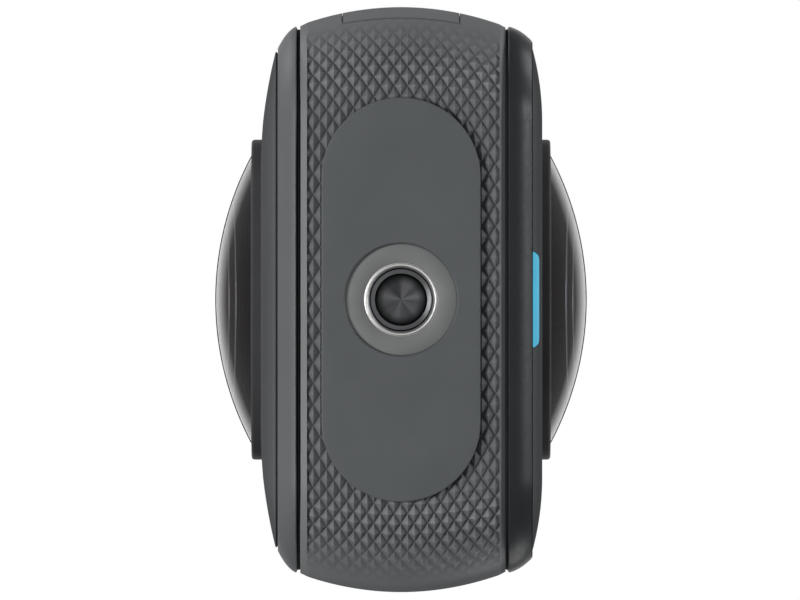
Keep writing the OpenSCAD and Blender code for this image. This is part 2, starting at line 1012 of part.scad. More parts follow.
module front_prism() {
    color("#9fb2b8", 0.6)
        prism();
}

module rear_prism() {
    color("#9fb2b8", 0.6)
        rear()
            prism();
}

module front_sensor() {
    color("#26323c")
        sensor();
}

module rear_sensor() {
    color("#26323c")
        rear()
            sensor();
}

module front_sensor_board() {
    color("#1f5a3c")
        sensor_board();
}

module rear_sensor_board() {
    color("#1f5a3c")
        rear()
            sensor_board();
}

// Screen, shutter and status light

module screen_glass() {
    bevel = 0.2;
    color("#08090a")
        turned(screen_z)
            polygon([
                [0, glass_out], [glass_r, glass_out], [glass_r, glass_out + glass_t - bevel],
                [glass_r - bevel, glass_out + glass_t], [0, glass_out + glass_t]
            ]);
}

module display_panel() {
    color("#15181c")
        rod(panel_r, [glass_out - panel_t, glass_out], 0, screen_z);
}

// Board behind the screen, with a tongue down to the status leds
module front_board() {
    tongue_past = 3;
    tongue_half = foot_l / 2 + tongue_past;
    color("#1f5a3c")
        union() {
            block([-board_half, board_half], [board_out, board_out + board_t],
                  [bay_z[0] - bay_wall, board_top]);
            block([-tongue_half, tongue_half], [board_out, board_out + board_t],
                  [room_z[0] + 2 * slip, bay_z[0]]);
        }
}

// Cap with a keeper lip behind the cover and a stem over the switch
module shutter_button() {
    stem_out = switch_out + shutter_travel + slip;
    color("#3a3c3e")
        turned(shutter_z) {
            translate([0, shutter_back - lip_t])
                square([shutter_d / 2, cover_out + shutter_proud - shutter_back + lip_t]);
            translate([0, shutter_back - lip_t])
                square([shutter_d / 2 + shutter_lip, lip_t]);
            translate([0, stem_out])
                square([stem_r, shutter_back - lip_t - stem_out]);
        }
}

module shutter_switch() {
    side = 4;
    color("#b8babd")
        block([-side / 2, side / 2], [board_out + board_t, switch_out],
              [shutter_z - side / 2, shutter_z + side / 2]);
}

module light_slot(out, grow) {
    through_out(out)
        translate([0, light_z + light_h / 2])
            pill(light_l + 2 * grow, light_h + 2 * grow);
}

// Light guide that fills its slot in the front cover, with a bridge to a foot over the leds
module status_light() {
    color("#54bce6")
        union() {
            intersection() {
                cover_form(front_in);
                light_slot([front_in, cover_out + past], 0);
            }
            block([-foot_l / 2, foot_l / 2], [front_in - bridge_t, front_in + slip],
                  [bridge_z[0], light_z + light_h - slip]);
            block([-foot_l / 2, foot_l / 2], [front_in - bridge_t, front_in - slip], bridge_z);
            block([-foot_l / 2, foot_l / 2], [board_out + board_t + led_t + slip, front_in - slip],
                  [foot_z, foot_z + foot_t]);
        }
}

module status_leds() {
    led_w = 1.6;
    led_h = 0.8;
    led_z = foot_z + (foot_t - led_h) / 2;
    color("#e8e8d8")
        for (s = [-1, 1])
            block([s * foot_l / 3 - led_w / 2, s * foot_l / 3 + led_w / 2],
                  [board_out + board_t, board_out + board_t + led_t], [led_z, led_z + led_h]);
}

// Electronics behind the rear cover

module main_board() {
    color("#1f5a3c")
        rear()
            block([-board_half, board_half], [board_out, board_out + board_t], [bay_z[0], board_top]);
}

module shield_can() {
    color("#b4b8bb")
        rear()
            block([-can_side / 2, can_side / 2], [board_out + board_t, board_out + board_t + can_t],
                  [can_z - can_side / 2, can_z + can_side / 2]);
}

module thermal_pad() {
    pad_inset = 1;
    half = can_side / 2 - pad_inset;
    color("#8fa0b4")
        rear()
            block([-half, half], [board_out + board_t + can_t, spreader_out], [can_z - half, can_z + half]);
}

module heat_spreader() {
    half = frame_w / 2 - frame_land - spreader_inset;
    color("#b87a4a")
        rear()
            block([-half, half], [spreader_out, spreader_out + spreader_t],
                  [bay_z[0] + spreader_rise, board_top - spreader_inset]);
}

// Power button on the -X side

module power_button() {
    color("#3a3c3e")
        intersection() {
            union() {
                through_x([-half_w - past, power_back])
                    upright_pill(power_l, power_w, power_z);
                through_x([-half_in + slip, power_back])
                    upright_pill(power_l + 2 * power_lip, power_w + 2 * power_lip, power_z);
                translate([power_back, 0, power_z])
                    rotate([0, 90, 0])
                        cylinder(r = stem_r, h = power_stem_l);
            }
            linear_extrude(body_h)
                side_plan(power_set);
        }
}

module power_switch() {
    half = 1.75;
    half_h = 3;
    color("#b8babd")
        block([switch_x, switch_x + power_switch_t], [-half, half], [power_z - half_h, power_z + half_h]);
}

// Charging door and socket on the -X side

// Door that follows the band's form, with a knuckle round the pin
module usb_door() {
    half = door_w / 2;
    color("#6b6d6f")
        intersection() {
            band_form();
            difference() {
                union() {
                    block([-half_w - past, door_x], [-half, half], [door_z0, pivot_z]);
                    rod(knuckle_r, [-half, half], pivot_x, pivot_z);
                }
                rod(pin_d / 2 + pin_fit, [-half - past, half + past], pivot_x, pivot_z);
            }
        }
}

module usb_door_pin() {
    half = door_w / 2 + move_gap + pin_grip - slip;
    color("#c4c6c8")
        rod(pin_d / 2, [-half, half], pivot_x, pivot_z);
}

module usb_door_seal() {
    color("#1a1b1c")
        block([door_x, usb_x - move_gap], [-usb_t / 2 - seal_rim, usb_t / 2 + seal_rim],
              [usb_z - usb_w / 2 - seal_rim, usb_z + usb_w / 2 + seal_rim]);
}

module usb_socket() {
    shell = 0.3;
    floor_x = usb_x + usb_l - 3 * shell;
    tongue = [4.45, 6.69, 0.7];
    color("#c8cacc")
        union() {
            difference() {
                through_x([usb_x, usb_x + usb_l])
                    upright_pill(usb_w, usb_t, usb_z);
                through_x([usb_x - past, floor_x])
                    upright_pill(usb_w - 2 * shell, usb_t - 2 * shell, usb_z);
            }
            block([floor_x - tongue[0], floor_x + shell], [-tongue[2] / 2, tongue[2] / 2],
                  [usb_z - tongue[1] / 2, usb_z + tongue[1] / 2]);
        }
}

// Battery, which slides out of the +X side with its cover

module battery_cell() {
    color("#2f3133")
        through_x(cell_x)
            round_rect(battery_t, [bay_z[0] + battery_gap, bay_z[1] - battery_gap], lid_corner - battery_gap);
}

// Cover plate with a neck into the bay and a pocket for the latch
module battery_cover() {
    half = latch_w / 2 + move_gap;
    color("#636567")
        difference() {
            union() {
                intersection() {
                    through_x([half_in, half_w + past])
                        round_rect(2 * lid_out, lid_z, lid_corner);
                    linear_extrude(body_h)
                        side_plan();
                }
                through_x([cell_x[1], half_in])
                    round_rect(2 * neck_out, neck_z, lid_corner - battery_seal_t);
            }
            block([latch_x, half_w + past], [-half, half],
                  [latch_z[0] - latch_travel - move_gap, latch_z[1] + move_gap]);
            block([latch_x, tongue_x[1] + move_gap], [-tongue_w / 2 - move_gap, tongue_w / 2 + move_gap],
                  [latch_z[1], lid_z[1] + past]);
        }
}

module battery_seal() {
    inner = slip / 2;
    color("#1a1b1c")
        through_x([cell_x[1] + 2 * slip, half_in - 2 * slip])
            difference() {
                round_rect(2 * neck_out, neck_z, lid_corner - battery_seal_t, battery_seal_t);
                round_rect(2 * neck_out, neck_z, lid_corner - battery_seal_t, inner);
            }
}

module battery_contacts() {
    color("#d0a850")
        for (i = [0 : contact_count - 1]) {
            z = contact_z + (i - (contact_count - 1) / 2) * contact_pitch;
            block([cell_x[0] - contact_t, cell_x[0]], [-contact_l / 2, contact_l / 2],
                  [z - contact_w / 2, z + contact_w / 2]);
        }
}

// Thumb slider with finger ribs and a tongue that locks in the band's notch
module battery_latch() {
    groove_w = 0.5;
    groove_depth = 0.6;
    groove_end = 0.8;
    groove_count = 3;
    first_z = latch_z[0] + 1.2;
    color("#3a3c3e")
        union() {
            difference() {
                intersection() {
                    block([latch_x + move_gap, half_w], [-latch_w / 2, latch_w / 2], latch_z);
                    linear_extrude(body_h)
                        side_plan(power_set);
                }
                for (i = [0 : groove_count - 1]) {
                    z = first_z + 3 * groove_w * i;
                    block([half_w - power_set - groove_depth, half_w + past],
                          [groove_end - latch_w / 2, latch_w / 2 - groove_end], [z, z + groove_w]);
                }
            }
            block(tongue_x, [-tongue_w / 2, tongue_w / 2], [latch_z[1] - past, lid_z[1] + tongue_l]);
        }
}

// Body of the contact block, which a hole for it is grown from and reaches back past
module connector_body(grow = 0, reach = 0) {
    half = connector_half + grow;
    half_z = contact_count * contact_pitch / 2 + connector_end + grow;
    block([bay_x - bay_wall - connector_back - reach, bay_x + slip + grow], [-half, half],
          [contact_z - half_z, contact_z + half_z]);
}

// Contact block in the bay's inner wall, with a sprung pin for each contact
module battery_connector() {
    sprung_r = 0.45;
    color("#26272a")
        union() {
            connector_body();
            for (i = [0 : contact_count - 1])
                translate([bay_x, 0, contact_z + (i - (contact_count - 1) / 2) * contact_pitch])
                    rotate([0, 90, 0])
                        cylinder(r = sprung_r, h = battery_gap - slip / 2);
        }
}

// Memory card above the battery bay, and the rest of the inside

module card_slot() {
    block([card_x - card_w / 2 - card_fit, card_x + card_w / 2 + card_fit],
          [card_out[0] - card_fit, card_out[1] + card_fit], [bay_z[1] - slip, mid_z[0] + past]);
}

module memory_card() {
    color("#1c1d1f")
        block([card_x - card_w / 2, card_x + card_w / 2], card_out, [card_z, card_z + card_l]);
}

// Sheet-metal cage that is open below, where the card goes in
module card_cage() {
    side = card_w / 2 + card_fit;
    top = card_z + card_l + card_travel + slip;
    color("#c0c2c4")
        difference() {
            block([card_x - side - cage_wall, card_x + side + cage_wall],
                  [card_out[0] - card_fit - cage_wall, card_out[1] + card_fit + cage_wall],
                  [mid_z[0], top + cage_wall]);
            block([card_x - side, card_x + side], [card_out[0] - card_fit, card_out[1] + card_fit],
                  [mid_z[0] - past, top]);
        }
}

module microphones() {
    color("#c8b070")
        for (sx = [-1, 1], so = [-1, 1])
            block([sx * mic_x - mic_l / 2, sx * mic_x + mic_l / 2],
                  [so * mic_out - mic_w / 2, so * mic_out + mic_w / 2], [room_z[1] - mic_t, room_z[1]]);
}

module speaker() {
    color("#202123")
        block([room_half - speaker_d, room_half], [-speaker_w / 2, speaker_w / 2],
              [power_z - speaker_h / 2, power_z + speaker_h / 2]);
}

side_band();
base_pad();
tripod_insert();
front_gasket();
rear_gasket();
front_frame();
rear_frame();
front_cover();
rear_cover();
front_frame_screws();
rear_frame_screws();
chassis();
lens_tube();
lens_tube_screws();
front_bezel();
rear_bezel();
front_dome();
rear_dome();
front_dome_seal();
rear_dome_seal();
front_barrel();
rear_barrel();
front_inner_lens();
rear_inner_lens();
front_prism();
rear_prism();
front_sensor();
rear_sensor();
front_sensor_board();
rear_sensor_board();
screen_glass();
display_panel();
front_board();
shutter_button();
shutter_switch();
status_light();
status_leds();
main_board();
shield_can();
thermal_pad();
heat_spreader();
power_button();
power_switch();
usb_door();
usb_door_pin();
usb_door_seal();
usb_socket();
battery_cell();
battery_cover();
battery_seal();
battery_contacts();
battery_latch();
battery_connector();
memory_card();
card_cage();
microphones();
speaker();
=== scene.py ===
import math

import bmesh
import bpy
import numpy as np
from mathutils import Matrix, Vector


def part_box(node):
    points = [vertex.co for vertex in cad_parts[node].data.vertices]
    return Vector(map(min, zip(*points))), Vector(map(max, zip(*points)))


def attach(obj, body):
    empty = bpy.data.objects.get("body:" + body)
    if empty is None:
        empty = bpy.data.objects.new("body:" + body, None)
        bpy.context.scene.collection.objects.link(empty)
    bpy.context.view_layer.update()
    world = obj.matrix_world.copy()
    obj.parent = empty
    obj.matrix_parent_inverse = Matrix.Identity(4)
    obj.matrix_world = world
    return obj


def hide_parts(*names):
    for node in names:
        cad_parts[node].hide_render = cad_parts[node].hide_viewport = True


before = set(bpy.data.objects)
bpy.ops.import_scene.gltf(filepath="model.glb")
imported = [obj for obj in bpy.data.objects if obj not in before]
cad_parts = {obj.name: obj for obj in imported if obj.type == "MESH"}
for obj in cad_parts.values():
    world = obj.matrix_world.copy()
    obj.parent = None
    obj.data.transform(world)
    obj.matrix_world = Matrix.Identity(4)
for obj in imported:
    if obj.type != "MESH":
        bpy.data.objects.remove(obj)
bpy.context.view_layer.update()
mm = 0.001                 # settings are in millimetres, Blender works in metres
inside, far = 10.0, 30.0   # cuts run from inside the body to past everything
tiny = 1e-9                # stands for no length, so that nothing is divided by 0


# lowest and highest corner of a solid, in millimetres
def nodeBox(name):
    return np.array(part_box(name)) / mm


# middle height of a solid
def middleZ(name):
    return nodeBox(name)[:, 2].mean()


# smooth step: 0 before start, 1 after end, and 3t^2 - 2t^3 between them
def fade(value, start, end):
    t = np.clip((value - start) / (end - start), 0, 1)
    return t * t * (3 - 2 * t)


# each face has its own directions: u and v lie in it and h stands out of it, but at the base h is the height
def toFrame(facing, u, v, h):
    u, v, h = np.broadcast_arrays(u, v, h)
    axes = dict(front=(u, -h, v), rear=(-u, h, v), right=(h, u, v), left=(-h, -u, v), base=(u, v, h))
    return np.stack(axes[facing], axis=-1).reshape(-1, 3)


# triangles of a grid: each cell is split along the diagonal whose two ends differ less in level, and of two
# equal ones along the lower, so that a groove runs on unbroken
def gridFaces(rows, cols, closeRows=True, closeCols=True, level=None, bias=0.01):
    row, col = np.meshgrid(np.arange(rows if closeRows else rows - 1),
                           np.arange(cols if closeCols else cols - 1), indexing="ij")
    row, col = row.ravel(), col.ravel()
    nextRow, nextCol = (row + 1) % rows, (col + 1) % cols
    a, b, c, d = row * cols + col, row * cols + nextCol, nextRow * cols + nextCol, nextRow * cols + col
    level = np.zeros(rows * cols) if level is None else level.ravel()
    costs = [abs(level[p] - level[q]) + bias * (level[p] + level[q]) for p, q in ((a, c), (b, d))]
    straight = (costs[0] <= costs[1])[:, None]
    first = np.where(straight, np.stack([a, b, c], 1), np.stack([a, b, d], 1))
    second = np.where(straight, np.stack([a, c, d], 1), np.stack([b, c, d], 1))
    return np.concatenate([first, second])


# path round a rectangle with round corners, from the middle of its lower side: the angle each point faces
# and its place on the straight stretches, from -1 to 1. Without any it is a circle, with one pair a pill.
def roundPath(half, radius, along=None, bend=16, run=2):
    arc = radius * math.pi / 2
    lengths = np.array([half[0], arc, 2 * half[1], arc, 2 * half[0], arc, 2 * half[1], arc, half[0]]) + tiny
    ends = np.concatenate([[0], np.cumsum(lengths)])
    if along is None:
        stretches = zip(ends, ends[1:], [run, bend] * 4 + [run])
        along = np.concatenate([np.linspace(start, end, count, endpoint=False)
                                for start, end, count in stretches if end - start > 2 * tiny])
    angle = np.interp(along, ends, [-90, -90, 0, 0, 90, 90, 180, 180, 270, 270])
    alongU = np.interp(along, ends, [0, 1, 1, 1, 1, -1, -1, -1, -1, 0])
    alongV = np.interp(along, ends, [-1, -1, -1, 1, 1, 1, 1, -1, -1, -1])
    return np.radians(angle), alongU, alongV


# outline of that path as points, for a rectangle of the given half sizes
def roundOutline(centre, size, radius, bend=12):
    half = (size[0] - radius, size[1] - radius)
    angle, alongU, alongV = roundPath(half, radius, bend=bend)
    return np.stack([centre[0] + alongU * half[0] + np.cos(angle) * radius,
                     centre[1] + alongV * half[1] + np.sin(angle) * radius], 1)


# profile with eased corners: each corner becomes the quadratic curve between points a short way before and
# after it, at most the given share of the way to the next corner
def eased(rows, ease, steps=4, closed=True, most=0.45):
    corners = np.array(rows, float)
    arms = [np.roll(corners, 1, 0) - corners, np.roll(corners, -1, 0) - corners]
    lengths = [np.maximum(np.linalg.norm(arm[:, :2], axis=1), tiny)[:, None] for arm in arms]
    start, end = (corners + arm * np.minimum(ease, most * length) / length
                  for arm, length in zip(arms, lengths))
    t = np.linspace(0, 1, steps)[None, :, None]
    curves = (1 - t) ** 2 * start[:, None] + 2 * t * (1 - t) * corners[:, None] + t ** 2 * end[:, None]
    if closed:
        return curves.reshape(-1, corners.shape[1])
    return np.concatenate([corners[:1], curves[1:-1].reshape(-1, corners.shape[1]), corners[-1:]])


# profile of a slab with eased edges: its middle, its rim at the low and the high face, and its middle again
def slabRows(radius, low, high, ease=0.12, steps=4):
    return eased([(0, low, 0), (radius, low, 1), (radius, high, 1), (0, high, 0)], ease, steps, closed=False)


# profile of a ring with eased edges: its four corners
def ringRows(inner, outer, low, high, ease, steps=4):
    return eased([(inner, low), (outer, low), (outer, high), (inner, high)], ease, steps)


# arc of a circle from one angle to another, in degrees
def arcRows(centre, radius, start, end, count):
    angle = np.radians(np.linspace(start, end, count))
    return np.stack([centre[0] + np.cos(angle) * radius, centre[1] + np.sin(angle) * radius], 1)


# cap of a ball: height falls from the apex by R - sqrt(R^2 - r^2), with R from the cap's width and rise
def capRows(rim, rimHeight, apex, count):
    rise = apex - rimHeight
    ball = (rim ** 2 + rise ** 2) / (2 * rise)
    r = np.linspace(rim, 0, count)
    return np.stack([r, apex - ball + np.sqrt(ball ** 2 - r ** 2)], 1)


# profile of (radius, height) or (radius, height, scale) carried round a round path:
# point = place on the straight stretches * scale + radius in the direction faced, at that height
def sweep(facing, centre, half, rows, bend=16, closed=False):
    rows = np.array(rows, float)
    radius, height = rows[:, 0], rows[:, 1]
    scale = rows[:, 2] if rows.shape[1] == 3 else np.ones(len(rows))
    angle, alongU, alongV = roundPath(half, radius.max(), bend=bend)
    u = centre[0] + np.outer(alongU * half[0], scale) + np.outer(np.cos(angle), radius)
    v = centre[1] + np.outer(alongV * half[1], scale) + np.outer(np.sin(angle), radius)
    return toFrame(facing, u, v, height[None, :]), gridFaces(len(angle), len(rows), True, closed)


# profile turned round an axis that stands out of a face: a sweep without straight stretches
def turned(facing, centre, rows, bend, closed=False):
    return sweep(facing, centre, (0, 0), rows, bend, closed)


# straight prism: its rows are the middle, the outline low, the outline high and the middle, so fans close it
def prism(facing, outline, low, high=far):
    outline = np.array(outline, float)
    middle = outline.mean(0)
    spread, height = np.array([0, 1, 1, 0]), np.array([low, low, high, high])
    u = middle[0] + np.outer(outline[:, 0] - middle[0], spread)
    v = middle[1] + np.outer(outline[:, 1] - middle[1], spread)
    return toFrame(facing, u, v, height[None, :]), gridFaces(len(outline), len(spread), True, False)


# prism with round corners through a side, from its half width and the heights that it spans
def window(facing, halfWidth, heights, corner, low):
    half = (halfWidth, (heights[1] - heights[0]) / 2)
    return prism(facing, roundOutline((0, sum(heights) / 2), half, corner), low)


# round prism, for a hole
def bore(facing, spot, radius, low, high=far, bend=6):
    return prism(facing, roundOutline(spot, (radius, radius), radius, bend), low, high)


# several closed shapes as one
def joined(shapes):
    starts = np.cumsum([0] + [len(points) for points, faces in shapes[:-1]])
    return (np.concatenate([points for points, faces in shapes]),
            np.concatenate([faces + start for (points, faces), start in zip(shapes, starts)]))


# mesh of a closed shape: equal points are merged, triangles that shut up dropped and faces turned outwards
def makeMesh(name, shape, relief=None, merge=1e4):
    points, faces = shape
    keys = np.round(points * merge).astype(np.int64)
    _, kept, index = np.unique(keys, axis=0, return_index=True, return_inverse=True)
    faces = index.reshape(-1)[faces]
    whole = (faces[:, 0] != faces[:, 1]) & (faces[:, 1] != faces[:, 2]) & (faces[:, 2] != faces[:, 0])
    mesh = bpy.data.meshes.new(name)
    mesh.from_pydata((points[kept] * mm).tolist(), [], faces[whole].tolist())
    if relief is not None:
        values = np.ravel(relief)[kept].astype(np.float32)
        mesh.attributes.new("relief", "FLOAT", "POINT").data.foreach_set("value", values)
    work = bmesh.new()
    work.from_mesh(mesh)
    bmesh.ops.recalc_face_normals(work, faces=work.faces)
    if work.calc_volume(signed=True) < 0:
        bmesh.ops.reverse_faces(work, faces=work.faces)
    work.to_mesh(mesh)
    work.free()
    return mesh


# new object in the scene
def place(name, data):
    thing = bpy.data.objects.new(name, data)
    bpy.context.scene.collection.objects.link(thing)
    return thing


# a mesh less a shape, or cut to it
def carved(mesh, shape, operation="DIFFERENCE"):
    kept, tool = place("kept", mesh), place("tool", makeMesh("tool", shape))
    cut = kept.modifiers.new("cut", "BOOLEAN")
    cut.operation, cut.object, cut.solver = operation, tool, "MANIFOLD"
    graph = bpy.context.evaluated_depsgraph_get()
    result = bpy.data.meshes.new_from_object(kept.evaluated_get(graph))
    for thing in (kept, tool):
        bpy.data.objects.remove(thing)
    return result


# puts a finished mesh on its body. Slivers that a cut left are shut first, because they shade badly.
def makePiece(name, mesh, body, slotName, node=None, sharp=35, finish=None, sliver=0.003):
    mesh.name = name
    work = bmesh.new()
    work.from_mesh(mesh)
    bmesh.ops.dissolve_degenerate(work, dist=sliver * mm, edges=work.edges[:])
    work.to_mesh(mesh)
    work.free()
    piece = place(name, mesh)
    mesh.materials.clear()
    mesh.materials.append(finishes[finish or slotName]["material"])
    mesh.polygons.foreach_set("material_index", np.zeros(len(mesh.polygons), np.int32))
    mesh.shade_smooth()
    mesh.set_sharp_from_angle(angle=math.radians(sharp))
    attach(piece, body)
    if node:
        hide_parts(node)


# sRGB hex to the linear colour that shaders take
def linear(code):
    values = np.array([int(code[start:start + 2], 16) for start in (1, 3, 5)]) / 255
    values = np.where(values <= 0.04045, values / 12.92, ((values + 0.055) / 1.055) ** 2.4)
    return (*values, 1.0)


# adds a node with its settings, the values of its sockets and the links into them
def addNode(tree, kind, settings=None, values=None, links=None):
    node = tree.nodes.new("ShaderNode" + kind)
    for key, value in (settings or {}).items():
        setattr(node, key, value)
    for key, value in (values or {}).items():
        node.inputs[key].default_value = value
    for key, source in (links or {}).items():
        tree.links.new(source, node.inputs[key])
    return node


# base of every finish: the colour drifts to a second one over a broad mottle, and a fine grain of the stated
# size moves the roughness and lifts the surface. Sizes are in millimetres.
def makeFinish(name, colour, drift, mottle, grain, rough, lift, **sockets):
    material = bpy.data.materials.new(name)
    material.use_nodes = True
    tree = material.node_tree
    tree.nodes.clear()
    usual = {"From Min": 0.3, "From Max": 0.7}   # most of a noise lies between these
    where = addNode(tree, "TexCoord").outputs["Object"]
    broad, fine = (addNode(tree, "TexNoise", None, {"Scale": 1 / (size * mm), "Detail": detail},
                           {"Vector": where}).outputs["Fac"]
                   for size, detail in ((mottle, 3.0), (grain, 2.0)))
    spread = addNode(tree, "MapRange", None, usual, {"Value": broad}).outputs["Result"]
    tone = addNode(tree, "Mix", {"data_type": "RGBA"}, {6: linear(colour), 7: linear(drift)}, {0: spread})
    gloss = addNode(tree, "MapRange", None, {**usual, "To Min": rough[0], "To Max": rough[1]},
                    {"Value": fine})
    bump = addNode(tree, "Bump", None, {"Strength": 1.0, "Distance": lift * mm}, {"Height": fine})
    sources = {"Base Color": tone.outputs[2], "Roughness": gloss.outputs["Result"],
               "Normal": bump.outputs["Normal"]}
    values = {key.replace("_", " "): value for key, value in sockets.items()}
    shader = addNode(tree, "BsdfPrincipled", None, values, sources)
    addNode(tree, "OutputMaterial", None, None, {"Surface": shader.outputs["BSDF"]})
    return dict(sources, material=material, tree=tree, where=where, shader=shader)


# new source of the shader's colour, roughness or normal
def relink(finish, socket, source):
    finish[socket] = source
    finish["tree"].links.new(source, finish["shader"].inputs[socket])


# mask on a finish: 0 where the value is before the span, the share after it, and only within another mask
def zone(finish, value, span, share=1.0, within=None, unit=1.0):
    limits = {"From Min": span[0] * unit, "From Max": span[1] * unit, "To Max": share}
    mask = addNode(finish["tree"], "MapRange", None, limits, {"Value": value}).outputs["Result"]
    if within is None:
        return mask
    return addNode(finish["tree"], "Math", {"operation": "MULTIPLY"}, None, {0: within, 1: mask}).outputs[0]


# second colour over a finish, where the mask is 1
def overlay(finish, mask, colour):
    mix = addNode(finish["tree"], "Mix", {"data_type": "RGBA"}, {7: linear(colour)},
                  {0: mask, 6: finish["Base Color"]})
    relink(finish, "Base Color", mix.outputs[2])


# further relief on a finish, lifted by so many millimetres where the height is 1
def raiseBy(finish, height, lift):
    bump = addNode(finish["tree"], "Bump", None, {"Strength": 1.0, "Distance": lift * mm},
                   {"Height": height, "Normal": finish["Normal"]})
    relink(finish, "Normal", bump.outputs["Normal"])


# roughness that grows to 1 where the surface is seen at a glance, as the matting agent in a lacquer makes it
def dullAtGlance(finish, span):
    glance = addNode(finish["tree"], "LayerWeight", None, {"Blend": 0.5}).outputs["Facing"]
    mix = addNode(finish["tree"], "Mix", None, {3: 1.0},
                  {0: zone(finish, glance, span), 2: finish["Roughness"]})
    relink(finish, "Roughness", mix.outputs[0])


# sine of the distance from an axis: the fine rings that a lathe leaves, so many millimetres apart, with that
# distance and the direction away from the axis
def latheMarks(finish, centre, flatten, pitch):
    tree = finish["tree"]
    shift = addNode(tree, "VectorMath", {"operation": "SUBTRACT"}, {1: [part * mm for part in centre]},
                    {0: finish["where"]})
    flat = addNode(tree, "VectorMath", {"operation": "MULTIPLY"}, {1: flatten},
                   {0: shift.outputs[0]}).outputs[0]
    away = addNode(tree, "VectorMath", {"operation": "LENGTH"}, None, {0: flat}).outputs["Value"]
    way = addNode(tree, "VectorMath", {"operation": "NORMALIZE"}, None, {0: flat}).outputs[0]
    turns = addNode(tree, "Math", {"operation": "MULTIPLY"}, {1: 2 * math.pi / (pitch * mm)}, {0: away})
    rings = addNode(tree, "Math", {"operation": "SINE"}, None, {0: turns.outputs[0]}).outputs[0]
    return dict(rings=rings, away=away, way=way)


bandLow, bandHigh = nodeBox("side_band")
halfWide, bandOut = bandHigh[0], bandHigh[1]
halfTall, midZ = (bandHigh[2] - bandLow[2]) / 2, middleZ("side_band")
lensZ, screenZ = middleZ("front_dome"), middleZ("screen_glass")
shutterZ, powerZ = middleZ("shutter_button"), middleZ("power_button")

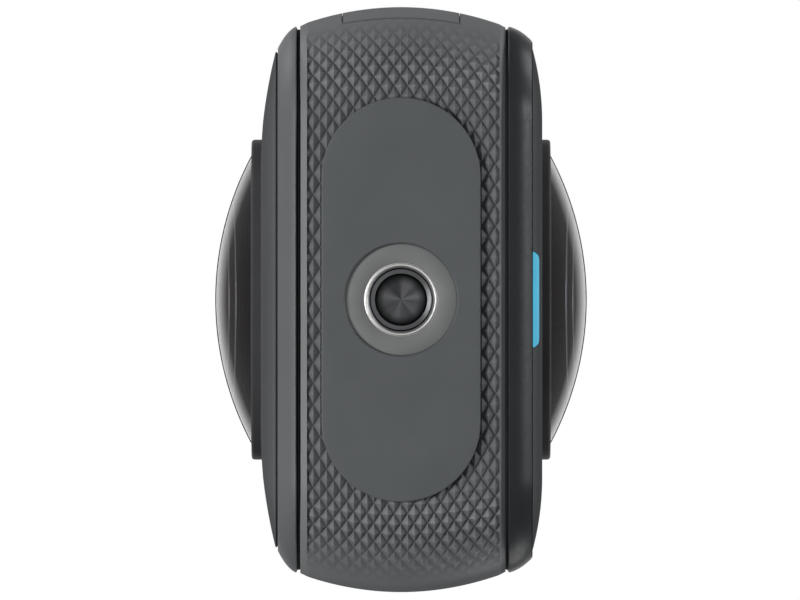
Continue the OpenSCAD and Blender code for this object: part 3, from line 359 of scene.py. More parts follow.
# finishes, by the slot or piece that wears them: name, colour and the one it drifts to, size of the mottle
# and of the grain, roughness range, lift of the grain, and the shader's own sockets
finishes = dict(
    # glass-filled nylon, moulded in a spark-eroded tool: satin, with rubbed tips, and shade painted into the
    # grooves
    band_polymer=makeFinish(
        "glass_filled_nylon_moulded", "#686a6c", "#5e6062", 7, 0.16, (0.4, 0.54), 0.006, IOR=1.53,
        Specular_IOR_Level=0.15),
    # polycarbonate blend with a fine mould texture: even and satin
    pad_polymer=makeFinish(
        "polycarbonate_blend_fine_texture", "#545759", "#505355", 5, 0.1, (0.5, 0.62), 0.004, IOR=1.58,
        Specular_IOR_Level=0.2),
    # aluminium, bead-blasted and anodised grey: a soft even sheen with a pinprick grain
    insert_metal=makeFinish(
        "aluminium_blasted_anodised", "#797a7a", "#727373", 3, 0.07, (0.42, 0.56), 0.006, Metallic=0.85),
    # brass, turned and nickel plated: bright rings round the axis
    bush_plating=makeFinish(
        "brass_turned_nickel_plated", "#d8d8d6", "#cececc", 2, 0.05, (0.46, 0.6), 0.002, Metallic=1.0),
    # silicone rubber, black, moulded: dull with a faint bloom
    black_rubber=makeFinish(
        "silicone_rubber_moulded", "#141415", "#1a1a1b", 2, 0.08, (0.6, 0.75), 0.006, IOR=1.41,
        Specular_IOR_Level=0.2),
    # magnesium frame, spray painted grey: satin with the slight ripple that spray leaves
    rear_frame_polymer=makeFinish(
        "magnesium_painted_grey", "#595b5d", "#545658", 9, 0.35, (0.45, 0.55), 0.004, IOR=1.5,
        Specular_IOR_Level=0.2),
    # the same paint in graphite, with more gloss; part of its darkness is painted shade of the face turned
    # from the main lamp
    front_frame_polymer=makeFinish(
        "magnesium_painted_graphite", "#2e3032", "#2a2c2e", 9, 0.35, (0.3, 0.4), 0.004, IOR=1.5,
        Specular_IOR_Level=0.12),
    # polycarbonate, moulded in a polished tool and hard coated: semi-gloss graphite with faint wipe marks
    front_cover_polymer=makeFinish(
        "polycarbonate_hard_coated", "#383a3c", "#343638", 12, 0.6, (0.24, 0.32), 0.003, IOR=1.58,
        Specular_IOR_Level=0.05),
    # polycarbonate with a soft-touch lacquer: satin grey with a fine orange peel
    rear_cover_polymer=makeFinish(
        "polycarbonate_soft_touch", "#464849", "#424446", 10, 0.3, (0.3, 0.4), 0.005, IOR=1.52,
        Specular_IOR_Level=0.05),
    # aluminium, turned and anodised black: the dyed oxide is dark and satin, with fine lathe rings
    bezel_metal=makeFinish(
        "aluminium_turned_black_anodised", "#48484a", "#434345", 4, 0.06, (0.3, 0.42), 0.003, IOR=1.65,
        Specular_IOR_Level=0.004),
    # optical glass with a quarter-wave coat: clear, with a purple cast in reflections and faint wipe marks
    dome_glass=makeFinish(
        "optical_glass_coated", "#f4f0f6", "#efeaf2", 8, 1.5, (0.0, 0.02), 0.0, IOR=1.52,
        Specular_IOR_Level=0.05, Specular_Tint=linear("#f4dcea"), Transmission_Weight=1.0),
    # inner lens: multicoated glass over a black well, dark, with painted glint rings near its middle
    optical_glass=makeFinish(
        "optical_glass_multicoated", "#0a0a10", "#0c0b12", 6, 1.5, (0.02, 0.05), 0.0, IOR=1.75,
        Specular_IOR_Level=0.1, Thin_Film_Thickness=130.0, Thin_Film_IOR=1.45),
    # brass rings that hold the inner lens, turned and black-nickel plated: smooth, with a bright glint
    ring_metal=makeFinish(
        "brass_turned_black_nickel", "#c4c2c8", "#bab8be", 2, 0.05, (0.06, 0.12), 0.001, Metallic=1.0),
    # flock on the barrel's hood: short black fibre that gives almost no light back
    barrel_flock=makeFinish(
        "barrel_black_flocked", "#121214", "#161618", 3, 0.1, (0.9, 1.0), 0.02, IOR=1.5,
        Specular_IOR_Level=0.0),
    # black polymer, moulded matt: connectors, switches and the neck of the battery cover
    black_polymer=makeFinish(
        "black_polymer_moulded_matt", "#101011", "#161617", 3, 0.1, (0.55, 0.7), 0.006, IOR=1.5,
        Specular_IOR_Level=0.25),
    # fibreglass board with solder mask: tracks are raised lines under green-black lacquer, pads gold dots
    circuit_board=makeFinish(
        "fibreglass_board_lacquered", "#10281c", "#0d2218", 8, 0.2, (0.3, 0.42), 0.004, IOR=1.55),
    # cover glass over a dark display: black and glossy, with the lit area a touch bluer than its border
    screen_glass=makeFinish(
        "cover_glass_black_backed", "#08090b", "#07080a", 6, 2.0, (0.03, 0.07), 0.0, IOR=1.52),
    # dark polymer, moulded: buttons and latch, satin and even
    button_polymer=makeFinish(
        "abs_moulded_dark", "#3a3c3f", "#35373a", 4, 0.12, (0.32, 0.44), 0.004, IOR=1.54),
    # light guide: milky polymer lit blue from behind
    light_guide=makeFinish(
        "light_guide_milky_polymer", "#3587a1", "#318099", 2, 0.2, (0.3, 0.4), 0.002, IOR=1.49,
        Specular_IOR_Level=0.01, Emission_Color=linear("#459bb6"), Emission_Strength=0.55),
    # silicone thermal pad, dusty and matt
    thermal_rubber=makeFinish(
        "silicone_pad_filled", "#8b8d94", "#7f8188", 2, 0.15, (0.7, 0.85), 0.01, IOR=1.43),
    # copper sheet, rolled: warm, with drawn lines along its length
    copper_sheet=makeFinish(
        "copper_sheet_rolled", "#b87a56", "#a96c4a", 6, 0.2, (0.28, 0.42), 0.002, Metallic=1.0),
    # stainless steel, rolled or turned: screws, pin and cans, bright with a faint grain
    screw_steel=makeFinish(
        "stainless_steel_rolled", "#a9abad", "#9a9c9e", 3, 0.1, (0.25, 0.4), 0.003, Metallic=1.0),
    # magnesium alloy, die cast: grey with a rough cast skin
    chassis_alloy=makeFinish(
        "magnesium_die_cast", "#8c8e90", "#7e8082", 5, 0.3, (0.5, 0.68), 0.02, Metallic=0.8),
    # battery wrap: shrunk film with a slight ripple
    battery_case=makeFinish("pvc_film_shrunk", "#26282b", "#222427", 9, 1.2, (0.3, 0.42), 0.02, IOR=1.53),
    # gold flash over nickel on the contacts: warm and bright
    gold_contacts=makeFinish(
        "nickel_gold_flashed", "#d9b36a", "#cfa75e", 2, 0.06, (0.2, 0.32), 0.002, Metallic=1.0))

# band: the knurl's own height sets painted shade in its grooves and shows its rubbed tips
nylon = finishes["band_polymer"]
relief = addNode(nylon["tree"], "Attribute", {"attribute_name": "relief"}).outputs["Fac"]
# painted shade: the grooves darker where the knurl sinks
overlay(nylon, zone(nylon, relief, (0.5, 0.0), 0.45), "#222325")
overlay(nylon, zone(nylon, relief, (0.75, 1.0), 0.35), "#7b7d7f")
glances = dict(band_polymer=(0.55, 0.75), front_cover_polymer=(0.72, 0.84), rear_cover_polymer=(0.76, 0.88))
for slotName, span in glances.items():
    dullAtGlance(finishes[slotName], span)

# bush: lathe rings, and painted tones that follow its depth under the pad's face and the distance from its
# axis: painted shade and painted reflection streaks
bushMarks = dict(pitch=0.12, lift=0.002, boreDepth=(0.5, 0.9), cornerDepth=(5.5, 5.6), floorDepth=(6.2, 6.25),
                 grooveDepth=(6.55, 6.7), floorEdge=(1.3, 1.9), cornerEdge=(2.36, 2.42), paintedStreaks=(0.36, 0.64))
plating = finishes["bush_plating"]
spun = latheMarks(plating, (0, 0, 0), (1, 1, 0), bushMarks["pitch"])
raiseBy(plating, spun["rings"], bushMarks["lift"])
deep = addNode(plating["tree"], "SeparateXYZ", None, None, {0: plating["where"]}).outputs["Z"]
inBore, inCorner, inFloor, inGroove = (zone(plating, deep, bushMarks[part + "Depth"], unit=mm)
                                       for part in ("bore", "corner", "floor", "groove"))
floorEdge, cornerEdge = (zone(plating, spun["away"], bushMarks[part], within=mask, unit=mm)
                         for part, mask in (("floorEdge", inFloor), ("cornerEdge", inCorner)))
paintedStreaks = addNode(plating["tree"], "TexNoise", None, {"Scale": 1.1, "Detail": 1.0}, {"Vector": spun["way"]})
overlay(plating, inBore, "#b4b5b7")      # darker in the bore
overlay(plating, inFloor, "#98999b")     # spun floor darker, with painted reflection streaks running out from the middle
# painted reflection: streaks of light and dark round the floor's axis
overlay(plating, zone(plating, paintedStreaks.outputs["Fac"], bushMarks["paintedStreaks"], within=inFloor), "#5c5d5f")
overlay(plating, floorEdge, "#2b2c2d")   # painted shade at the floor's edge and in the groove round it
overlay(plating, inGroove, "#141415")
overlay(plating, cornerEdge, "#2b2c2d")  # painted shade at the corner under the thread

# bezel: fine lathe rings. Inner lens: painted glint rings near its middle. Screen: its lit area.
anodised, coated, display = finishes["bezel_metal"], finishes["optical_glass"], finishes["screen_glass"]
raiseBy(anodised, latheMarks(anodised, (0, 0, lensZ), (1, 0, 1), 0.1)["rings"], 0.0016)
# painted highlight: light rings on the dark inner lens within 4 mm of its axis
glintRingMarks = latheMarks(coated, (0, 0, lensZ), (1, 0, 1), 1.1)
paintedGlintRings = zone(coated, glintRingMarks["rings"], (0.9, 0.98))
overlay(coated, zone(coated, glintRingMarks["away"], (4.0, 3.8), 0.9, paintedGlintRings, mm), "#7d7b84")
fromMiddle = latheMarks(display, (0, 0, screenZ), (1, 0, 1), 0.5)["away"]
overlay(display, zone(display, fromMiddle, (15.4, 15.0), unit=mm), "#10141a")

# boards: square cells with raised borders for tracks and gold middles for pads
lacquer, cellSize = finishes["circuit_board"], 1.6
cells = addNode(lacquer["tree"], "TexVoronoi", {"distance": "CHEBYCHEV", "feature": "F1"},
                {"Scale": 1 / (cellSize * mm)}, {"Vector": lacquer["where"]}).outputs["Distance"]
tracks = zone(lacquer, cells, (0.36, 0.4))
overlay(lacquer, tracks, "#1d4030")
overlay(lacquer, zone(lacquer, cells, (0.13, 0.1)), "#b08d46")
raiseBy(lacquer, tracks, 0.03)

# copper: noise drawn out along the sheet
copper, lineSize = finishes["copper_sheet"], (0.12, 0.12, 6)
drawn = addNode(copper["tree"], "Mapping", None, {"Scale": [1 / (size * mm) for size in lineSize]},
                {"Vector": copper["where"]}).outputs["Vector"]
drawnLines = addNode(copper["tree"], "TexNoise", None, {"Scale": 1.0}, {"Vector": drawn}).outputs["Fac"]
raiseBy(copper, drawnLines, 0.006)
print("finishes made:", len(finishes))

# side band: crown, knurl and plain edge strips
band = dict(
    cornerRadius=8.5, edgeCornerRadius=7.5,  # corners seen from the front, at the crown and at the edges
    sideCrown=1.55, endCrown=0.45,           # how far the middle stands out past the edges
    wall=2.85,
    rearEdge=7.95, frontEdge=8.25,           # the rear seam lies nearer the middle than the front one
    rearStrip=(0, 0.06, 0.55, 0.62),         # plain strip along each edge: distance from the edge,
    frontStrip=(0, 0.05, 0.44, 0.50),
    stripDrop=(0.34, 0.27, 0.04, 0),         # how far it lies below the crown's curve at the two ends,
    sideDrop=0.3,                            # and the share of that on the sides
    alongPitch=1.70, acrossPitch=1.06,       # diamonds of the knurl
    endDepth=0.3, sideDepth=0.15,
    stripGap=0.3,                            # least way from strip to knurl, in quarters of a diamond
    cornerFade=(26, 70),                     # degrees round the corner where the end's knurl dies out
    gripZ=(12, 17, 72, 78),                  # heights where the sides' knurl starts and ends
    sharp=18)


# band: crown falls with the square of the depth, and the knurl is 1 - 2 max(|a|, |b|), where a and b are the
# distances to the nearest line of two crossing sets, so each diamond is a low pointed pyramid
def knurledBand(shape):
    corner, depthAtEnd = shape["cornerRadius"], shape["endDepth"]
    half = (halfWide - corner, halfTall - corner)
    length = 4 * (half[0] + half[1] + corner * math.pi / 2)
    count = 4 * round(length / shape["alongPitch"])
    along = np.arange(count) * length / count
    quarter, gap = shape["acrossPitch"] / 4, shape["stripGap"]
    rearRows = np.array(shape["rearStrip"]) - shape["rearEdge"]
    frontRows = shape["frontEdge"] - np.array(shape["frontStrip"])
    knurlRows = quarter * np.arange(math.ceil(rearRows[-1] / quarter + gap),
                                    math.floor(frontRows[-1] / quarter - gap) + 1)
    t = np.concatenate([rearRows, knurlRows, frontRows[::-1]])
    between = (t > rearRows[-2]) & (t < frontRows[-2])
    drop = np.interp(t, np.concatenate([rearRows, frontRows[::-1]]),
                     shape["stripDrop"] + shape["stripDrop"][::-1])
    bow = (t / bandOut) ** 2
    radius = corner + (shape["edgeCornerRadius"] - corner) * bow
    halfU, halfV = halfWide - shape["sideCrown"] * bow - radius, halfTall - shape["endCrown"] * bow - radius
    angle, alongU, alongV = roundPath(half, corner, along)
    degrees = np.degrees(angle)
    fromBase = np.minimum(abs(degrees + 90), abs(degrees - 270))
    z = midZ + alongV * half[1] + np.sin(angle) * corner
    grip = fade(z, *shape["gripZ"][:2]) * (1 - fade(z, *shape["gripZ"][2:]))
    depth = depthAtEnd * (1 - fade(fromBase, *shape["cornerFade"])) + shape["sideDepth"] * grip
    a, b = along[:, None] * count / 4 / length, t[None, :] / shape["acrossPitch"]
    height = 1 - 2 * np.maximum(abs(a + b - np.round(a + b)), abs(a - b - np.round(a - b)))
    sunk = depth[:, None] * (1 - height) * between
    dropShare = shape["sideDrop"] + (1 - shape["sideDrop"]) * np.sin(angle) ** 2
    outer = radius - (sunk + dropShare[:, None] * drop)
    u = alongU[:, None] * halfU + np.cos(angle)[:, None] * outer
    v = alongV[:, None] * halfV + np.sin(angle)[:, None] * outer
    inner = corner - shape["wall"]
    innerU = np.repeat((alongU * half[0] + np.cos(angle) * inner)[:, None], 2, 1)
    innerV = np.repeat((alongV * half[1] + np.sin(angle) * inner)[:, None], 2, 1)
    out = np.concatenate([t, [shape["frontEdge"], -shape["rearEdge"]]])
    points = toFrame("front", np.hstack([u, innerU]), midZ + np.hstack([v, innerV]), out[None, :])
    plain = np.zeros((count, 2))
    faces = gridFaces(count, len(out), level=np.hstack([height * between, plain]))
    return (points, faces), np.hstack([1 - sunk / depthAtEnd, plain])


bandSolid, bandRelief = knurledBand(band)

# openings in the band: pad, battery, latch tongue, door pocket and its hole to the socket, power button,
# microphones and speaker
openings = dict(
    padHalf=(15.9, 6.25), padDeep=1.6, insertRadius=4.45, under=-1.0,
    lidHalf=6.2, lidZ=(10.6, 59.6), lidRadius=2.0, lidInner=20.25,
    moveGap=0.15,
    tongueHalf=1.5, tongueZ=(59.3, 61.3), tongueCorner=0.1,
    doorHalf=4.6, doorZ=(4.9, 26.0), doorInner=20.95, doorOuter=24.0, pivot=(-22.0, 26.0), knuckle=1.05,
    pocketX=20.8, pocketHalf=4.65, pocketZ=(4.85, 27.25), pocketCorner=0.3, sealGap=0.25,
    powerHalf=(2.0, 5.0),
    micRadius=0.5, micX=10.0, micY=4.0, micZ=(105, 120),
    ventRadius=0.45, ventPitch=1.7, ventCount=5)
latchLow, latchHigh = nodeBox("battery_latch")
sealLow, sealHigh = nodeBox("usb_door_seal")
moveGap, sealGap, pivot = openings["moveGap"], openings["sealGap"], openings["pivot"]
lidLow, lidHigh = openings["lidZ"]
tongueGap, pocketCorner = openings["tongueHalf"] + moveGap, openings["pocketCorner"]
powerWide, powerTall = np.array(openings["powerHalf"]) + moveGap
ventZ = powerZ + openings["ventPitch"] * (np.arange(openings["ventCount"]) - (openings["ventCount"] - 1) / 2)
cuts = [
    prism("base", roundOutline((0, 0), openings["padHalf"], openings["padHalf"][1], 32), openings["under"],
          openings["padDeep"]),
    bore("base", (0, 0), openings["insertRadius"], openings["under"], inside, 32),
    window("right", openings["lidHalf"] + moveGap, (lidLow - moveGap, lidHigh + moveGap),
           openings["lidRadius"] + moveGap, inside),
    window("right", tongueGap, openings["tongueZ"], openings["tongueCorner"], latchLow[0]),
    window("left", openings["pocketHalf"], openings["pocketZ"], pocketCorner, openings["pocketX"]),
    window("left", sealHigh[1] + sealGap, (sealLow[2] - sealGap, sealHigh[2] + sealGap), pocketCorner,
           inside),
    window("left", powerWide, (powerZ - powerTall, powerZ + powerTall), powerWide, inside)]
cuts += [bore("right", (0, z), openings["ventRadius"], inside) for z in ventZ]
cuts += [bore("base", (x, y), openings["micRadius"], *openings["micZ"])
         for x in (-openings["micX"], openings["micX"]) for y in (-openings["micY"], openings["micY"])]
bandMesh = makeMesh("band", bandSolid, bandRelief)
for cut in cuts:
    bandMesh = carved(bandMesh, cut)
makePiece("side_band_knurled", bandMesh, "body", "band_polymer", "side_band", band["sharp"])
print("band:", len(bandMesh.polygons), "faces")

# charging door: the piece of the band inside the door's outline, which ends in the round of its hinge
doorLow, doorHigh = openings["doorZ"]
doorOutline = [(-openings["doorOuter"], doorLow), (-openings["doorInner"], doorLow),
               *arcRows(pivot, openings["knuckle"], 0, 180, 12), (-openings["doorOuter"], doorHigh)]
doorMesh = carved(makeMesh("door", bandSolid, bandRelief),
                  prism("front", doorOutline, -openings["doorHalf"], openings["doorHalf"]), "INTERSECT")
makePiece("usb_door_knurled", doorMesh, "charge_door", "band_polymer", "usb_door", band["sharp"])

# hinge pin: a turned rod with chamfered ends that stop inside the walls beside the door
pin = dict(radius=0.48, halfLong=4.9, chamfer=0.12)
pinRadius, pinLong, pinChamfer = pin["radius"], pin["halfLong"], pin["chamfer"]
pinEnd = [(pinRadius, pinLong - pinChamfer), (pinRadius - pinChamfer, pinLong), (0, pinLong)]
pinRows = np.concatenate([np.array(pinEnd[::-1]) * (1, -1), pinEnd])
makePiece("usb_door_pin_turned", makeMesh("pin", turned("front", pivot, pinRows, 8)), "body", "screw_steel",
          "usb_door_pin")

# battery cover: the piece of the band inside the lid's outline, with the pocket that the latch slides in
latchPocket = dict(travel=3.0, halfWide=2.8, plateZ=(52.0, 58.0), tongueZ=(57.0, 61.0))
plateLow, plateHigh = latchPocket["plateZ"]
pocketZ = (plateLow - latchPocket["travel"] - moveGap, plateHigh + moveGap)
pocketFloor = latchLow[0] - moveGap
lidShape = window("right", openings["lidHalf"], openings["lidZ"], openings["lidRadius"], openings["lidInner"])
lidMesh = carved(makeMesh("lid", bandSolid, bandRelief), lidShape, "INTERSECT")
for cut in (window("right", latchPocket["halfWide"] + moveGap, pocketZ, pocketCorner, pocketFloor),
            window("right", tongueGap, latchPocket["tongueZ"], openings["tongueCorner"], pocketFloor)):
    lidMesh = carved(lidMesh, cut)
makePiece("battery_cover_knurled", lidMesh, "battery", "band_polymer", "battery_cover", band["sharp"])

# neck of the battery cover, which carries its seal into the bay
neck = dict(halfWide=5.1, radius=1.2, margin=1.1, reach=(18.6, 20.4))
neckHalf = (neck["halfWide"] - neck["radius"], (lidHigh - lidLow) / 2 - neck["margin"] - neck["radius"])
neckSolid = sweep("right", (0, (lidHigh + lidLow) / 2), neckHalf, slabRows(neck["radius"], *neck["reach"]))
makePiece("battery_cover_neck", makeMesh("neck", neckSolid), "battery", "black_polymer")

# latch: a plate with raised ribs across it, and its tongue
latch = dict(face=22.55, plateRadius=0.5, plateEase=0.15,
             ribs=5, ribPitch=0.95, ribHalf=(2.2, 0.24), ribSink=0.2,
             tongueHalf=1.4, tongueThick=0.8, tongueRadius=0.2, tongueEase=0.1, tongueLap=0.4)
latchBase, latchMiddle = latchLow[0], (plateLow + plateHigh) / 2
plateHalf = np.array([latchPocket["halfWide"], (plateHigh - plateLow) / 2]) - latch["plateRadius"]
plateRows = slabRows(latch["plateRadius"], latchBase, latch["face"], latch["plateEase"])
latchParts = [sweep("right", (0, latchMiddle), plateHalf, plateRows)]
ribLong, ribRadius = latch["ribHalf"]
ribRows = slabRows(ribRadius, latch["face"] - latch["ribSink"], latchHigh[0])
for rib in range(latch["ribs"]):
    ribZ = latchMiddle + (rib - (latch["ribs"] - 1) / 2) * latch["ribPitch"]
    latchParts.append(sweep("right", (0, ribZ), (ribLong - ribRadius, 0), ribRows, 6))
tongueLow, tongueHigh = plateHigh - latch["tongueLap"], latchHigh[2]
tongueHalf = np.array([latch["tongueHalf"], (tongueHigh - tongueLow) / 2]) - latch["tongueRadius"]
tongueRows = slabRows(latch["tongueRadius"], latchBase, latchBase + latch["tongueThick"], latch["tongueEase"])
latchParts.append(sweep("right", (0, (tongueLow + tongueHigh) / 2), tongueHalf, tongueRows, 4))
makePiece("battery_latch_ribbed", makeMesh("latch", joined(latchParts)), "latch", "button_polymer",
          "battery_latch")

# battery cell: a block with its long edges rounded by the shrunk film
cell = dict(radius=1.7, ease=0.5)
cellLow, cellHigh = nodeBox("battery_cell")
cellHalf = (cellHigh[1] - cell["radius"], (cellHigh[2] - cellLow[2]) / 2 - cell["radius"])
cellRows = slabRows(cell["radius"], cellLow[0], cellHigh[0], cell["ease"], 6)
cellSolid = sweep("right", (0, middleZ("battery_cell")), cellHalf, cellRows)
makePiece("battery_cell_wrapped", makeMesh("cell", cellSolid), "battery", "battery_case", "battery_cell")
print("battery and door made")

# pad: a pill with a rounded rim and a hole for the insert
pad = dict(half=(15.9, 6.25), thick=1.6, rim=0.1, hole=4.4, holeRim=0.13)


# pad: rows run from the hole's wall over the face to the rim. Each is a mix of the hole's circle and the
# pill's outline by its weight, set in by so much and at its own height.
def pillPad(shape):
    (long, radius), thick, rim, holeRim = shape["half"], shape["thick"], shape["rim"], shape["holeRim"]
    angle, alongU, _ = roundPath((long - radius, 0), radius, bend=40, run=24)
    normal = np.stack([np.cos(angle), np.sin(angle)], 1)
    outline = np.stack([alongU * (long - radius), 0 * alongU], 1) + normal * radius
    circle = outline / np.linalg.norm(outline, axis=1)[:, None]
    turn = np.radians(np.linspace(0, 90, 7))
    rimRows = np.stack([np.ones(7), rim * (1 - np.sin(turn)), rim * (1 - np.cos(turn))], 1)
    rows = [(0, 0, thick), (0, 0, holeRim), (0, holeRim, 0), (0.35, 0, 0), (0.7, 0, 0), *rimRows,
            (1, 0, thick)]
    weight, inset, z = np.array(rows).T
    near = circle[:, None] * (shape["hole"] + inset * (weight == 0))[None, :, None]
    edge = outline[:, None] - normal[:, None] * (inset * (weight > 0))[None, :, None]
    flat = near + (edge - near) * weight[None, :, None]
    return toFrame("base", flat[..., 0], flat[..., 1], z[None, :]), gridFaces(len(angle), len(weight))


makePiece("base_pad_pill", makeMesh("pad", pillPad(pad)), "body", "pad_polymer", "base_pad")

# tripod insert: a blasted disc round a plated bush with a camera thread
insert = dict(radius=4.4, face=0.35, back=7.6, bushOuter=2.9, ease=0.04,
              bead=0.11, beadRadius=2.74, lip=0.02,            # polished bead round the mouth
              grooveRadius=2.56, grooveEnd=0.1, corner=0.03,
              bore=2.5, threadPitch=1.27, threadDeep=0.36, threadZ=(1.0, 5.5), threadRunOut=0.5,
              shoulder=5.62, stepRadius=2.06, stepDeep=7.0, floorRadius=1.95, floor=6.3, tip=6.5,
              sharp=50)
discRows = ringRows(insert["bushOuter"], insert["radius"], insert["face"], insert["back"], insert["ease"])
makePiece("tripod_insert_disc", makeMesh("disc", turned("base", (0, 0), discRows, 32, True)), "body",
          "insert_metal", "tripod_insert")


# bush: turned rows from the bead at the mouth to the floor, and the thread lets the wall out by a triangle
# wave of height and angle
def threadedBush(shape, rowsPerTurn=10, around=96):
    wall, face, back, outer = shape["bore"], shape["face"], shape["back"], shape["bushOuter"]
    shoulder, step, stepDeep = shape["shoulder"], shape["stepRadius"], shape["stepDeep"]
    corner, floorRadius = shape["corner"], shape["floorRadius"]
    groove, grooveEnd, runOut = shape["grooveRadius"], shape["grooveEnd"], shape["threadRunOut"]
    start, end = shape["threadZ"]
    share = np.linspace(1, 0, 5)
    floorZ = shape["tip"] + (shape["floor"] - shape["tip"]) * share
    rows = [(0, back), (outer, back), (outer, face + shape["lip"]),
            *arcRows((shape["beadRadius"], face), shape["bead"], 0, -180, 9),
            (groove, face + grooveEnd), (groove, start - grooveEnd),
            *[(wall, z) for z in np.arange(start, end, shape["threadPitch"] / rowsPerTurn)],
            (wall, shoulder - corner), (wall - corner, shoulder), (step + corner, shoulder),
            (step, shoulder + corner), (step, stepDeep), (floorRadius, stepDeep),
            *np.stack([floorRadius * share, floorZ], 1)]
    radius, z = np.array(rows).T
    inThread = np.clip((z - start) / runOut, 0, 1) * np.clip((end - z) / runOut, 0, 1) * (radius == wall)
    angle = np.linspace(0, 2 * math.pi, around, endpoint=False)
    turn = z[None, :] / shape["threadPitch"] - angle[:, None] / (2 * math.pi)
    radius = radius[None, :] + shape["threadDeep"] * 2 * abs(turn - np.round(turn)) * inThread[None, :]
    u, v = np.cos(angle)[:, None] * radius, np.sin(angle)[:, None] * radius
    return toFrame("base", u, v, z[None, :]), gridFaces(len(angle), len(z), True, False)


makePiece("tripod_insert_bush", makeMesh("bush", threadedBush(insert)), "body", "insert_metal",
          sharp=insert["sharp"], finish="bush_plating")
print("base made")

# frames, gaskets and covers on the two faces
face = dict(
    frameRadius=7.5, frameLand=4.6, frameEase=0.08,
    draft=dict(front=(0.4, 0.7), rear=(0.6, 1.1)),     # how the edge leans in: straight and curved part
    coverRadius=dict(front=6.3, rear=5.5), coverBow=dict(front=22.0, rear=42.0), coverEase=(0.1, 0.06),
    pillow=dict(front=0.0, rear=4.65),                 # how far inside the corner centres the fall starts
    seams=dict(front=(8.25, 8.45, 10.3), rear=(7.95, 8.22, 9.72)),   # where gasket, frame and cover start
    gasketRadius=7.28, gasketWide=2.5, gasketEase=0.1,
    lensHole=13.25, screenHole=17.1, screenFloor=10.25, shutterHole=5.95, mouth=0.15, cutStart=5.0,
    lightHalf=(3.86, 1.25), lightRadius=0.5, lightGap=0.05, lightZ=3.4,
    lightLean=0.12,                                    # share by which the window narrows to its top
    sharp=25)


# edge of a frame: radius falls with depth by a straight and a squared part, so the edge leans in ever more
def frameRows(shape, side, low, high):
    t = np.linspace(0, 1, 9)
    radius, ease, (straight, curved) = shape["frameRadius"], shape["frameEase"], shape["draft"][side]
    edge = np.stack([radius - straight * t - curved * t * t, low + ease + (high - low - ease) * t], 1)
    inner = radius - shape["frameLand"]
    return np.concatenate([[(inner, high), (inner, low), (radius - ease, low)], edge])


# cover: out = top - bow + sqrt(bow^2 - d^2), where d is the distance outwards from where the fall starts. The
# rows inside the corner centres shrink the path towards its middle instead.
def coverRows(shape, side, low, top, halfX):
    radius, bow, pillow = shape["coverRadius"][side], shape["coverBow"][side], shape["pillow"][side]
    chamfer, ease = shape["coverEase"]
    r = np.linspace(radius, 0, 12)
    rim = np.stack([r, top - bow + np.sqrt(bow ** 2 - (r + pillow) ** 2), np.ones(12)], 1)
    foot = eased([(0, low, 0), (radius - chamfer, low, 1), (radius, low + chamfer, 1), rim[0], rim[1]], ease,
                 closed=False)
    d = np.linspace(pillow, 0, 6)[1:]
    inner = np.stack([0 * d, top - bow + np.sqrt(bow ** 2 - d ** 2), 1 - (pillow - d) / halfX], 1)
    return np.concatenate([foot[:-1], rim[1:], inner if pillow else inner[:0], [(0, top, 0)]])


# light window: a round-cornered outline whose half width falls by a share of its height
def lightOutline(shape, gap):
    size = np.array(shape["lightHalf"]) + gap
    outline = roundOutline((0, shape["lightZ"]), size, shape["lightRadius"] + gap, 8)
    rise = (outline[:, 1] - outline[:, 1].min()) / np.ptp(outline[:, 1])
    return outline * np.stack([1 - shape["lightLean"] * rise, np.ones(len(rise))], 1)


for side in ("front", "rear"):
    seam, low, high = face["seams"][side]
    radius, gasketOuter = face["frameRadius"], face["gasketRadius"]
    mouth, cutStart = face["mouth"], face["cutStart"]
    frameLow, frameHigh = nodeBox(side + "_frame")
    centre = (0, middleZ(side + "_frame"))
    half = (frameHigh[0] - radius, (frameHigh[2] - frameLow[2]) / 2 - radius)
    frameSolid = sweep(side, centre, half, frameRows(face, side, low, high), 24, True)
    makePiece(side + "_frame_drafted", makeMesh("frame", frameSolid), "body", side + "_frame_polymer",
              side + "_frame")
    gasketRows = ringRows(gasketOuter - face["gasketWide"], gasketOuter, seam, low, face["gasketEase"])
    gasketMesh = makeMesh("gasket", sweep(side, centre, half, gasketRows, 24, True))
    makePiece(side + "_gasket_ring", gasketMesh, "body", "black_rubber", side + "_gasket")
    top = np.abs(nodeBox(side + "_cover"))[:, 1].max()
    coverSolid = sweep(side, centre, half, coverRows(face, side, high, top, half[0]), 24)
    cover = makeMesh("cover", coverSolid)
    holes = [(lensZ, face["lensHole"], cutStart)]
    if side == "front":
        holes += [(screenZ, face["screenHole"], face["screenFloor"]),
                  (shutterZ, face["shutterHole"], cutStart)]
        bar = carved(makeMesh("bar", coverSolid), prism(side, lightOutline(face, 0), cutStart), "INTERSECT")
        cover = carved(cover, prism(side, lightOutline(face, face["lightGap"]), cutStart))
        makePiece("status_light_bar", bar, "body", "light_guide", "status_light")
    for holeZ, radius, start in holes:
        mouthRows = [(0, top - mouth, 0), (radius, top - mouth, 1), (radius + 2 * mouth, top + mouth, 1),
                     (0, top + mouth, 0)]
        cover = carved(cover, bore(side, (0, holeZ), radius, start, bend=40))
        cover = carved(cover, turned(side, (0, holeZ), mouthRows, 40))
    makePiece(side + "_cover_bowed", cover, "body", side + "_cover_polymer", side + "_cover", face["sharp"])
print("frames and covers made")

